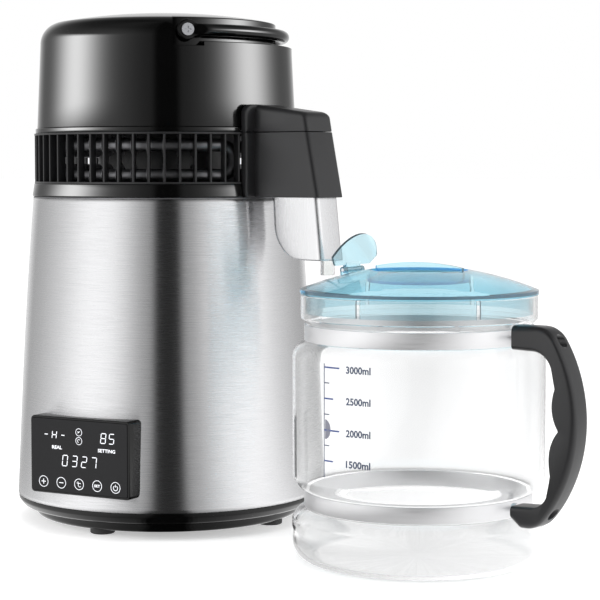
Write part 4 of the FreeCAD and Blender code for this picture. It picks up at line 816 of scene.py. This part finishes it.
def flange(foot, top, foot_round, top_round):
    """Layers (radius, inset) of an outline in (turn, height), bent round the axis. The first and
    last are drawn together sideways, which closes the plate."""
    wide = np.radians(FLANGE_HALF_TURN) * FLANGE_R
    rows = []
    for radius, inset in FLANGE_LAYERS:
        side, low, high = wide - inset, foot + inset, top - inset
        ring = rounded([(-side, low, foot_round), (side, low, foot_round), (side, high, top_round),
                        (-side, high, top_round)], steps=6)
        angle = ring[:, 0] / FLANGE_R
        rows.append(np.column_stack([radius * np.cos(angle), radius * np.sin(angle), ring[:, 1]]))
    rows = np.stack(rows)
    ends = rows[[0, -1]] * (1, 0.02, 1)
    return patch(np.concatenate([ends[:1], rows, ends[1:]]), close_columns=True)


housing = patch(spout_wall([
    (1.1, SPOUT_FOOT), (0.4, 242.7), (0, 243.1), (0, 288.3), (0.12, 288.65), (0.5, SEAM),
    (SPOUT_WALL, SEAM), (SPOUT_WALL, SPOUT_FOOT)]), close_rows=True)
add_piece("Spout_housing", [housing, flange(242.7, SEAM, 2.5, 0.4)], "spout", "head",
          "black_gloss", "spout_housing", finish="black_satin")

# %% Spout cover
COVER_FOOT, TOP_AT_BACK, TOP_AT_FRONT = 289.1, 309, 302.5
COVER_BACK, COVER_FRONT_FOOT, COVER_FRONT_TOP = 98.8, 150.2, 147.6
COVER_HIGH = TOP_AT_FRONT - COVER_FOOT


def cover_top(x):
    """The cover's top slopes straight from its height at the flange to that at the front."""
    slope = (TOP_AT_FRONT - TOP_AT_BACK) / (COVER_FRONT_TOP - COVER_BACK)
    return TOP_AT_BACK + (np.clip(x, COVER_BACK, COVER_FRONT_TOP) - COVER_BACK) * slope


def cover_plan(inset, high):
    """The plan at a height over the foot: a U whose front leans back as it rises."""
    front = COVER_FRONT_FOOT + high * (COVER_FRONT_TOP - COVER_FRONT_FOOT) / COVER_HIGH - inset
    return u_path(front, SPOUT_HALF - inset, SPOUT_ROUND, 99.0 if inset < 3.9 else 99.5)


def cover_skin():
    """Plans from the foot up, over a round edge, to the line along the top's middle."""
    turn = np.linspace(0, np.pi / 2, 8)
    rows = [laid(cover_plan(inset, lift), COVER_FOOT + lift)
            for inset, lift in ((0.5, 0.0), (0.12, 0.2), (0.0, 0.6))]
    for inset, drop in zip(SPOUT_ROUND * (1 - np.cos(turn)), SPOUT_ROUND * (1 - np.sin(turn))):
        plan = cover_plan(inset, COVER_HIGH - drop)
        rows.append(laid(plan, cover_top(plan[:, 0]) - drop))
    return np.stack([*rows, rows[-1] * (1, 0, 1)])


add_piece("Spout_cover", [patch(cover_skin()), flange(COVER_FOOT, 308.7, 0.4, 7)], "spout",
          "cover", "black_gloss", "spout_cover", finish="black_satin")

# %% [markdown]
# ## Steel cup and nozzle
#
# The filter cup hangs from the spout. From the side it is a box whose back curves in to a small
# floor, and from above it is a rounded rectangle, so each level of the grid is a rectangle of its
# own. A wall is given by Solidify. The nozzle under it is a short clear tube.

# %% Steel cup
CUP_FOOT, CUP_TOP, CUP_BACK_R, CUP_HALF, CUP_ROUND = 198.3, 252, 25.7, 12.5, 4
CUP_FRONT_FOOT, CUP_FRONT_TOP = 161.5, 155.4
cup_back = np.concatenate([bowed((141, CUP_FOOT), (115.6, CUP_FOOT + CUP_BACK_R), -CUP_BACK_R, 12),
                           [(114, CUP_TOP)]])


def cup_level(z, inset):
    """The cup's plan at a height: back edge from its curve, front edge from its slope."""
    back = np.interp(z, cup_back[:, 1], cup_back[:, 0]) + inset
    slope = (CUP_FRONT_TOP - CUP_FRONT_FOOT) / (CUP_TOP - CUP_FOOT)
    front = CUP_FRONT_FOOT + (z - CUP_FOOT) * slope - inset
    ring = box_outline((front - back) / 2, CUP_HALF - inset, CUP_ROUND - min(inset, 3))
    return laid(ring + ((front + back) / 2, 0), z)


curve_turn = np.linspace(0.28, np.pi / 2, 14)
cup_curve = CUP_FOOT + CUP_BACK_R * (1 - np.cos(curve_turn))
cup_heights = np.concatenate([[CUP_FOOT, 198.5, 199.1], cup_curve,
                              np.linspace(226, CUP_TOP, 8)])
cup_insets = np.zeros(len(cup_heights))
cup_insets[:3] = 1.2, 0.5, 0.1
cup_rows = np.stack([cup_level(z, inset) for z, inset in zip(cup_heights, cup_insets)])
print("cup from", cup_rows[..., 0].min(), "to", cup_rows[..., 0].max())
thicken(add_piece("Filter_cup", [patch(capped(cup_rows)[:-1], close_columns=True)], "spout",
                  "head", "cup_steel", "filter_cup", outwards=False))

NOZZLE_PLACE, NOZZLE_R, NOZZLE_BORE_R, NOZZLE_FOOT = 156.5, 5, 3.8, 188
nozzle_outline = rounded([(NOZZLE_R, NOZZLE_FOOT, 0.5), (NOZZLE_R, CUP_FOOT),
                          (NOZZLE_BORE_R, CUP_FOOT), (NOZZLE_BORE_R, NOZZLE_FOOT, 0.5)], steps=4)
add_piece("Nozzle", [moved(revolved(nozzle_outline, steps=48), (NOZZLE_PLACE, 0, 0))], "spout",
          "head", "silicone", "nozzle_tip")

# %% [markdown]
# ## Glass jug
#
# The jug is blown into a mould: a straight body between two waists, where steel bands grip it.
# The wall is a closed outline, up the outside and down the inside, because light has to meet both
# faces of real glass on its way. The shoulders are arcs that touch the body.

# %% Glass jug
BODY_R, WAIST_R, NECK_R, SHOULDER_R = 85, 76, 79.5, 11.5
RIM, GLASS = 179, 2.4


def jug_side(inset):
    """The jug's side from its foot to its rim, drawn in by an inset, (radius, height)."""
    wide, waist, neck = BODY_R - inset, WAIST_R - inset, NECK_R - inset
    return np.concatenate([
        bowed((71, inset), (wide, 14), 14 - inset, 12),
        bowed((wide, 28), (waist, 36), SHOULDER_R, 10),
        bowed((waist, 48), (wide, 58), SHOULDER_R, 10),
        bowed((wide, 138), (waist, 148), SHOULDER_R, 10),
        [(waist, 160), (neck, 163.5)],
        rounded([(neck, 163.5), (neck, RIM, 1.0), (neck - GLASS / 2, RIM)], closed=False,
                steps=4)[1:]])


jug_outline = np.concatenate([[(0, 0)], jug_side(0.0), jug_side(GLASS)[::-1], [(0, GLASS)]])
add_piece("Glass_jug", [revolved(jug_outline, steps=200, closed=False)], "jug", "jug",
          "glass_clear", "glass_jug", sharp=40)

# %% [markdown]
# ## Marks on the glass
#
# The jug is graduated in millilitres: one upright line with long, middle and short ticks, and a
# number at each of the longer ones. They are printed ink, so they are plates less than a tenth of
# a millimetre thick, drawn flat and then bent round the glass: a distance along the flat drawing
# becomes an angle about the jug's axis. The ink lies thickest in the long ticks, so each of the
# three pieces has an ink of its own.

# %% Marks bent round the glass
JUG_R, MARK_START = 85.05, -99.2
INK_HIGH, THIN_INK_HIGH, TICK_FROM = 0.08, 0.04, 0.6


def bent(made):
    """Wrap (u, v, w) round the glass: the angle is u / radius on from the line, z is v."""
    points, faces = made
    angle = np.radians(MARK_START) + points[:, 0] / JUG_R
    radius = JUG_R + points[:, 2]
    return np.column_stack([radius * np.cos(angle), radius * np.sin(angle), points[:, 1]]), faces


def stripe(u_from, u_to, v_from, v_to, points=9):
    """A rectangle with points every few millimetres along it, so that it bends smoothly."""
    u = np.linspace(u_from, u_to, points)
    return plate(np.concatenate([laid(u, v_from), laid(u[::-1], v_to)]), INK_HIGH)


def ticks(u_to, half, *levels):
    """Level stripes from the upright line to u, of a half width, one at each height."""
    return [stripe(TICK_FROM, u_to, z - half, z + half) for z in levels]


def ink(name, colour, low, high):
    """Printed ink: a flat colour that wanders between two shades."""
    finish, tree, shader = new_finish(name, colour, 0.45)
    tinted(tree, shader, noise_of(tree, 900.0), low, high)
    FINISHES[name] = finish


ink("navy_ink", (0.03, 0.06, 0.22), (0.022, 0.05, 0.19), (0.04, 0.075, 0.26))
ink("grey_blue_ink", (0.05, 0.065, 0.12), (0.04, 0.055, 0.1), (0.06, 0.08, 0.14))
ink("thin_grey_ink", (0.2, 0.205, 0.25), (0.18, 0.185, 0.23), (0.22, 0.225, 0.27))
print(len(FINISHES), "finishes with the inks")

# %% Jug marks
NUMBERS = (("3000ml", 135.6), ("2500ml", 115.4), ("2000ml", 94.9), ("1500ml", 75.0))
lines = ticks(13.7, 0.5, 135.6, 94.9) + ticks(8.4, 0.5, 115.4, 75.0)
numbers = [stripe(0, 0.7, 64, 138)] + ticks(5.0, 0.35, 125.5, 105.2, 85.0)
numbers += [lettering(words, (27.9, z - 0.7), 17.8, 4.8, INK_HIGH) for words, z in NUMBERS]
half_turn = np.radians(np.linspace(-90, 90, 17))
oval_ring = np.column_stack([1.2 + 5.0 * np.cos(half_turn), 95.4 + 6.4 * np.sin(half_turn)])
oval = plate(oval_ring, THIN_INK_HIGH)
for name, made, finish in (("Jug_lines", lines, "navy_ink"),
                           ("Jug_numbers", numbers, "grey_blue_ink"),
                           ("Jug_half_oval", [oval], "thin_grey_ink")):
    add_piece(name, [bent(mark) for mark in made], "jug", "jug", "black_satin", finish=finish)

# %% [markdown]
# ## Steel bands
#
# A thin strip of satin steel is drawn tight round each waist, and a small round boss on it
# carries one root of the handle. Both bands are alike, so one function makes them at two heights.

# %% Steel bands
BAND_IN, BAND_OUT, BAND_HIGH = 76.15, 76.95, 10.8
BOSS_R, BOSS_FROM, BOSS_TO = 4, 76.5, 80


def band(foot):
    """A rounded strip round the waist and the round boss that carries the handle's root."""
    ring = revolved(strip(BAND_IN, BAND_OUT, foot, foot + BAND_HIGH, 0.2, 0.3, 3), steps=200)
    outline = [(0, BOSS_FROM), (BOSS_R, BOSS_FROM), (BOSS_R, BOSS_TO), (0, BOSS_TO)]
    boss, faces = revolved(np.array(outline, float), steps=40, closed=False)
    across, up, along = boss.T
    return [ring, (np.column_stack([along, across, up + foot + BAND_HIGH / 2]), faces)]


for name, node, foot in (("Lower_band", "lower_band", 36.8), ("Upper_band", "upper_band", 148.3)):
    add_piece(name, band(foot), "jug", "jug", "band_steel", node)

# %% [markdown]
# ## Jug handle
#
# The handle is a section carried from root to root. At each station it spans from the outer curve
# to the inner one, where the fingers lie in two hollows, and it is 18 mm wide with softly rounded
# edges. The outer rounds are larger than the inner ones. Its screws sit at the bottom of two
# round holes, which a Boolean cuts before the piece is finished.

# %% Outlines of the handle
BACK_MIDDLE, BACK_R = np.array([31.4, 101.7]), 96.6
SHOULDER_BEND, SHOULDER_TURN = 17, 33.5
HEEL_BEND, HEEL_TURN = 18, -41.3
ROOT_X = 80.2


def on_back(reach, turn):
    """A point at a reach and a turn (degrees) from the centre of the handle's long back arc."""
    return BACK_MIDDLE + reach * np.array([np.cos(np.radians(turn)), np.sin(np.radians(turn))])


def evenly(line, count):
    """Count points at even distances along a line."""
    line = np.asarray(line, float)
    steps = np.linalg.norm(np.diff(line, axis=0), axis=1)
    along = np.concatenate([[0], np.cumsum(steps)])
    spots = np.linspace(0, along[-1], count)
    return np.column_stack([np.interp(spots, along, line[:, k]) for k in (0, 1)])


shoulder = on_back(BACK_R - SHOULDER_BEND, SHOULDER_TURN) + (0, SHOULDER_BEND)
heel = on_back(BACK_R - HEEL_BEND, HEEL_TURN) - (0, HEEL_BEND)
back_top, back_foot = on_back(BACK_R, SHOULDER_TURN), on_back(BACK_R, HEEL_TURN)
back_legs = [
    ([(ROOT_X, shoulder[1]), shoulder], 9),
    (bowed(shoulder, back_top, -SHOULDER_BEND, 30), 17),
    (bowed(back_top, back_foot, -BACK_R, 80), 57),
    (bowed(back_foot, heel, -HEEL_BEND, 30), 17),
    ([heel, (86.5, heel[1]), (ROOT_X, 37)], 9)]
GRIP = ((110.5, 133), (112.3, 122.7), (114.8, 96.9), (110, 70.5), (109.3, 62.9))
TOP_ROOT, FOOT_ROOT = (97, 146.5), (97, 46.5)
grip_line = np.concatenate([bowed(start, end, radius, steps) for start, end, radius, steps in zip(
    GRIP, GRIP[1:], (200, 25, 25, -200), (4, 16, 16, 4))])
inner_legs = [([(ROOT_X, 147), TOP_ROOT], 9), (bowed(TOP_ROOT, GRIP[0], -16, 20), 17),
              (grip_line, 57), (bowed(GRIP[-1], FOOT_ROOT, -16, 20), 17),
              ([FOOT_ROOT, (ROOT_X, 45.5)], 9)]
back_line = np.concatenate([evenly(*leg) for leg in back_legs])
inner_line = np.concatenate([evenly(*leg) for leg in inner_legs])
print("handle stations", len(back_line), len(inner_line))


# %% Jug handle
def handle_skin(outer=4.0, inner=2.6, half=9.0, steps=6):
    """Station (k, j): back(k) + (inner(k) - back(k)) * depth(j) / span(k), half-width y(j).

    The section is a rectangle with rounds of two sizes: the depth of a corner's points is counted
    from the back on the outer side and from the inner curve on the other.
    """
    turn = np.linspace(0, np.pi / 2, steps)
    deep, flat = 1 - np.sin(turn), 1 - np.cos(turn)
    from_back = np.concatenate([outer * deep[::-1], -inner * deep, -inner * deep[::-1],
                                outer * deep])
    side = np.concatenate([np.zeros(steps), np.ones(2 * steps), np.zeros(steps)])
    y = np.concatenate([half - outer * flat[::-1], half - inner * flat, inner * flat[::-1] - half,
                        outer * flat - half])
    across = inner_line - back_line
    span = np.linalg.norm(across, axis=1)[:, None]
    share = (from_back + side * span) / span
    spot = back_line[:, None] + across[:, None] * share[..., None]
    return capped(np.stack([spot[..., 0], np.broadcast_to(y, share.shape), spot[..., 1]], axis=-1))


SINK_R, SINK_FROM, SINK_LONG = 4.2, 98.0, 40


def bore(piece, height):
    """Take a round hole out of a piece: a plug's outline (radius, distance) carried round a level
    line at a height."""
    outline = np.array([(0, 0), (SINK_R, 0), (SINK_R, SINK_LONG), (0, SINK_LONG)], float)
    points, faces = revolved(outline, steps=40, closed=False)
    across, up, along = points.T
    placed = np.column_stack([along + SINK_FROM, across, up + height])
    tool = bpy.data.objects.new("tool", make_mesh("tool", [(placed, faces)], "jug"))
    bpy.context.scene.collection.objects.link(tool)
    cut = piece.modifiers.new("bore", "BOOLEAN")
    cut.object, cut.operation, cut.solver = tool, "DIFFERENCE", "EXACT"
    bpy.context.view_layer.update()
    finished = piece.evaluated_get(bpy.context.evaluated_depsgraph_get())
    mesh = bpy.data.meshes.new_from_object(finished)
    piece.modifiers.clear()
    piece.data = mesh
    bpy.data.objects.remove(tool)


handle = add_piece("Jug_handle", [patch(handle_skin(), close_columns=True)], "jug", "jug",
                   "black_gloss", "jug_handle", finish="black_satin")
for height in (153.7, 42.2):
    bore(handle, height)
handle.data.set_sharp_from_angle(angle=np.radians(SHARP))
print("handle faces", len(handle.data.polygons))

# %% [markdown]
# ## Studio
#
# The machine stands on a white floor in front of nothing. Both look white to the eye and in what
# gloss and clear stuff show: for those rays alone the floor glows a little and the world is
# brighter than the light that it gives, so the object isn't lit too much and the floor still
# takes its shadow. Three soft lamps, one at each side and one overhead, do the rest.


# %% Floor and world
def maths(tree, operation, left, right):
    """One step of arithmetic on an output and on another output or a plain number."""
    node = tree.nodes.new("ShaderNodeMath")
    node.operation = operation
    tree.links.new(left, node.inputs[0])
    if isinstance(right, float):
        node.inputs[1].default_value = right
    else:
        tree.links.new(right, node.inputs[1])
    return node.outputs[0]


def seen_by(tree, shares):
    """A share for rays of each kind that is named, 0 for others: the largest of kind * share."""
    path = tree.nodes.new("ShaderNodeLightPath")
    largest, *others = [maths(tree, "MULTIPLY", path.outputs[kind], share)
                        for kind, share in shares.items()]
    for other in others:
        largest = maths(tree, "MAXIMUM", largest, other)
    return largest


def stage_piece(name, points, finish, close_rows=False):
    """A grid in metres that is part of the studio, not of the object."""
    flat, faces = patch(points, close_rows=close_rows)
    mesh = bpy.data.meshes.new(name)
    mesh.from_pydata(flat.tolist(), [], faces.tolist())
    mesh.materials.append(finish)
    piece = bpy.data.objects.new(name, mesh)
    bpy.context.scene.collection.objects.link(piece)
    return piece


def both_of(tree, first, second):
    """A shader that is two shaders added."""
    both = tree.nodes.new("ShaderNodeAddShader")
    tree.links.new(first, both.inputs[0])
    tree.links.new(second, both.inputs[1])
    return both.outputs["Shader"]


FLOOR_GLOW = {"Is Camera Ray": 0.42, "Is Glossy Ray": 0.42, "Is Transmission Ray": 0.16}
FLOOR_HALF, WORLD_LOW, WORLD_HIGH = 40, 0.75, 1.0
floor_finish, tree, shader = new_finish("white_floor", (0.85, 0.85, 0.85), 0.9)
glow = tree.nodes.new("ShaderNodeEmission")
tree.links.new(seen_by(tree, FLOOR_GLOW), glow.inputs["Strength"])
tree.links.new(both_of(tree, shader.outputs["BSDF"], glow.outputs["Emission"]),
               tree.nodes["Material Output"].inputs["Surface"])
side = np.linspace(-FLOOR_HALF, FLOOR_HALF, 3)
floor_grid = np.stack(np.meshgrid(side, side) + [np.zeros((3, 3))], axis=-1)
stage_piece("Floor", floor_grid, floor_finish)

world = bpy.data.worlds.new("Studio")
bpy.context.scene.world = world
world.use_nodes = True
tree = world.node_tree
strength = tree.nodes.new("ShaderNodeMapRange")
strength.inputs["To Min"].default_value = WORLD_LOW
strength.inputs["To Max"].default_value = WORLD_HIGH
tree.links.new(seen_by(tree, dict.fromkeys(FLOOR_GLOW, 1.0)), strength.inputs["Value"])
background = tree.nodes["Background"]
background.inputs["Color"].default_value = (1, 1, 1, 1)
tree.links.new(strength.outputs["Result"], background.inputs["Strength"])
print("floor", 2 * FLOOR_HALF, "m wide")

# %% [markdown]
# ## Camera and lamps
#
# The camera stands to the right of the touch panel, some 1.4 m away and a little above the middle
# of the machine, with a long lens that keeps the uprights nearly upright. The lamps are large
# rectangles, because a small lamp gives hard shadows that a machine on a worktop doesn't have.

# %% Camera
EYE = np.array([0.87285, -1.03365, 0.262])
AIM = np.array([-0.05325, 0.06891, 0.1635])
camera = bpy.data.cameras.new("Camera")
camera.lens, camera.sensor_width = 114.0, 36.0
lens = bpy.data.objects.new("Camera", camera)
bpy.context.scene.collection.objects.link(lens)
lens.location = EYE
lens.rotation_euler = Vector(AIM - EYE).to_track_quat("-Z", "Y").to_euler()
bpy.context.scene.camera = lens
facing = np.degrees(np.arctan2(*(EYE - AIM)[1::-1]))
print("camera stands", round(float(facing), 1), "degrees round")

# %% Soft lamps
LIT_MIDDLE = np.array([0.0, 0.0, 0.18])


def soft_light(name, azimuth, reach, high, size, watts):
    """A rectangle of light at an azimuth from the camera's line, turned to the object's middle.
    Gloss and clear stuff don't show it, because a screen of its own serves them."""
    lamp = bpy.data.lights.new(name, "AREA")
    lamp.shape, lamp.size, lamp.size_y, lamp.energy = "RECTANGLE", size[0], size[1], watts
    holder = bpy.data.objects.new(name, lamp)
    bpy.context.scene.collection.objects.link(holder)
    towards = np.radians(facing + azimuth)
    holder.location = LIT_MIDDLE + (reach * np.cos(towards), reach * np.sin(towards), high)
    away = Vector(LIT_MIDDLE) - holder.location
    holder.rotation_euler = away.to_track_quat("-Z", "Y").to_euler()
    holder.visible_glossy = holder.visible_transmission = False
    print(name, watts, "watts")


for title, azimuth in (("Left_light", -78.0), ("Right_light", 78.0)):
    soft_light(title, azimuth, 1.6, 0.35, (0.6, 1.1), 14.0)
soft_light("Top_light", 20.0, 0.5, 1.8, (1.2, 1.2), 9.0)

# %% [markdown]
# ## What the gloss sees
#
# Steel and gloss show little of their own colour: they show the room. The best room for steel is
# a ring of paper, dark where the camera stands and brightest at both sides, with a lamp on each
# side. So a round screen stands about the machine, seen only by reflections, and each of its
# points carries a tone that depends on its azimuth and its elevation. The lamps are a second
# screen, just inside the first, and only the head and the bail show them.
#
# The jug would cut the steel's soft bands with hard streaks, so its glass, ink, bands and handle
# are left out of reflections. Its lid stays in them: a clear body that swallows light turns dark
# when a reflection in it can't find the body's far face.

# %% Tones of the screen
def screen_tone(away, up):
    """Tone at an azimuth away from the camera's line and an elevation, both in degrees: a ring of
    grey, read from a table of azimuths and dimmed overhead."""
    ring = np.interp(
        away, [0, 9, 11, 14, 20, 27, 35, 44, 53, 63, 72, 83, 94, 107, 122, 140, 158, 180],
        [0.03, 0.04, 0.28, 0.46, 0.58, 0.8, 1.1, 1.36, 1.48, 1.5, 1.42, 1.22, 1.0, 0.82, 0.65,
         0.52, 0.85, 0.9])
    return ring * np.interp(up, [25, 55, 90], [1.0, 0.3, 0.12])


LAMP_TONE, LAMP_AZIMUTH, LAMP_WIDE, RIGHT_SHARE = 20.0, 80, 15, 0.95


def lamp_tone(signed, up):
    """Tone of the two lamps: a bell about the lamp's azimuth on each side, the left one brighter,
    between two soft steps in elevation."""
    bell = np.exp(-((np.abs(signed) - LAMP_AZIMUTH) / LAMP_WIDE) ** 2 / 2)
    bell = bell * np.where(signed < 0, 1.0, RIGHT_SHARE)
    return LAMP_TONE * bell * np.interp(up, [3, 7, 22, 30], [0, 1, 1, 0])


print("tone at a side", screen_tone(60, 0).round(2), "and lamp", lamp_tone(-80, 10).round(2))

# %% Reflection screen
SCREEN_R, INNER_R, OVER_FLOOR, GAP_TURN, LAMPS_REACH = 2.4, 0.02, 0.0005, 4.0, 0.97
SCREEN_MIDDLE = np.array([AXIS[0] * MILLIMETRE, 0, 0])
azimuths = np.linspace(-180, 180, 180, endpoint=False)[:, None]
up = np.concatenate([np.linspace(0, 30, 31), np.linspace(33, 90, 20)])[None]
turn, climb = np.radians(azimuths + facing), np.radians(up)
dome = np.stack(np.broadcast_arrays(np.cos(turn) * np.cos(climb), np.sin(turn) * np.cos(climb),
                                    np.sin(climb)), axis=-1) * SCREEN_R
on_floor = np.stack(np.broadcast_arrays(np.cos(turn), np.sin(turn), OVER_FLOOR), axis=-1)
cards = [on_floor * (radius, radius, 1) for radius in (INNER_R, SCREEN_R)]
screen_grid = np.concatenate([*cards, dome], axis=1) + SCREEN_MIDDLE
heights = np.concatenate([[[0, 0]], up], axis=1)


def toned(name, tones, reach=1.0, see_through=False):
    """A dome that only reflections see. A see-through one adds its tones to what is behind it."""
    finish = bpy.data.materials.new(name + "_paper")
    finish.use_nodes = True
    tree = finish.node_tree
    tree.nodes.remove(tree.nodes["Principled BSDF"])
    glow = tree.nodes.new("ShaderNodeEmission")
    shade = tree.nodes.new("ShaderNodeVertexColor")
    shade.layer_name = "tone"
    tree.links.new(shade.outputs["Color"], glow.inputs["Color"])
    last = glow.outputs["Emission"]
    if see_through:
        last = both_of(tree, last, tree.nodes.new("ShaderNodeBsdfTransparent").outputs["BSDF"])
    tree.links.new(last, tree.nodes["Material Output"].inputs["Surface"])
    dome = stage_piece(name, screen_grid * reach, finish, close_rows=True)
    for ray in ("camera", "diffuse", "transmission", "volume_scatter", "shadow"):
        setattr(dome, "visible_" + ray, False)
    tones = np.broadcast_to(tones, screen_grid.shape[:2]).ravel()
    colours = dome.data.color_attributes.new("tone", "FLOAT_COLOR", "POINT")
    rgba = np.column_stack([tones, tones, tones, np.ones_like(tones)])
    colours.data.foreach_set("color", rgba.ravel())
    print(name, "tones", tones.min().round(2), "to", tones.max().round(2))
    return dome


toned("Screen", screen_tone(np.abs(azimuths - GAP_TURN), heights))
lamps = toned("Lamps", lamp_tone(azimuths, heights), LAMPS_REACH, see_through=True)

# %% Which pieces show the lamps, and which no reflection shows
takers = bpy.data.collections.new("gloss_of_the_head")
for title in ("Head_cap", "Head_ring", "Collar_ring", "Bail"):
    takers.objects.link(bpy.data.objects[title])
lamps.light_linking.receiver_collection = takers
hidden = [thing for thing in bpy.data.objects
          if thing.name.startswith(("Jug_", "Glass_", "Lower_", "Upper_"))]
for thing in hidden:
    thing.visible_glossy = False

# %% Picture settings
bpy.context.scene.view_settings.view_transform = "Standard"
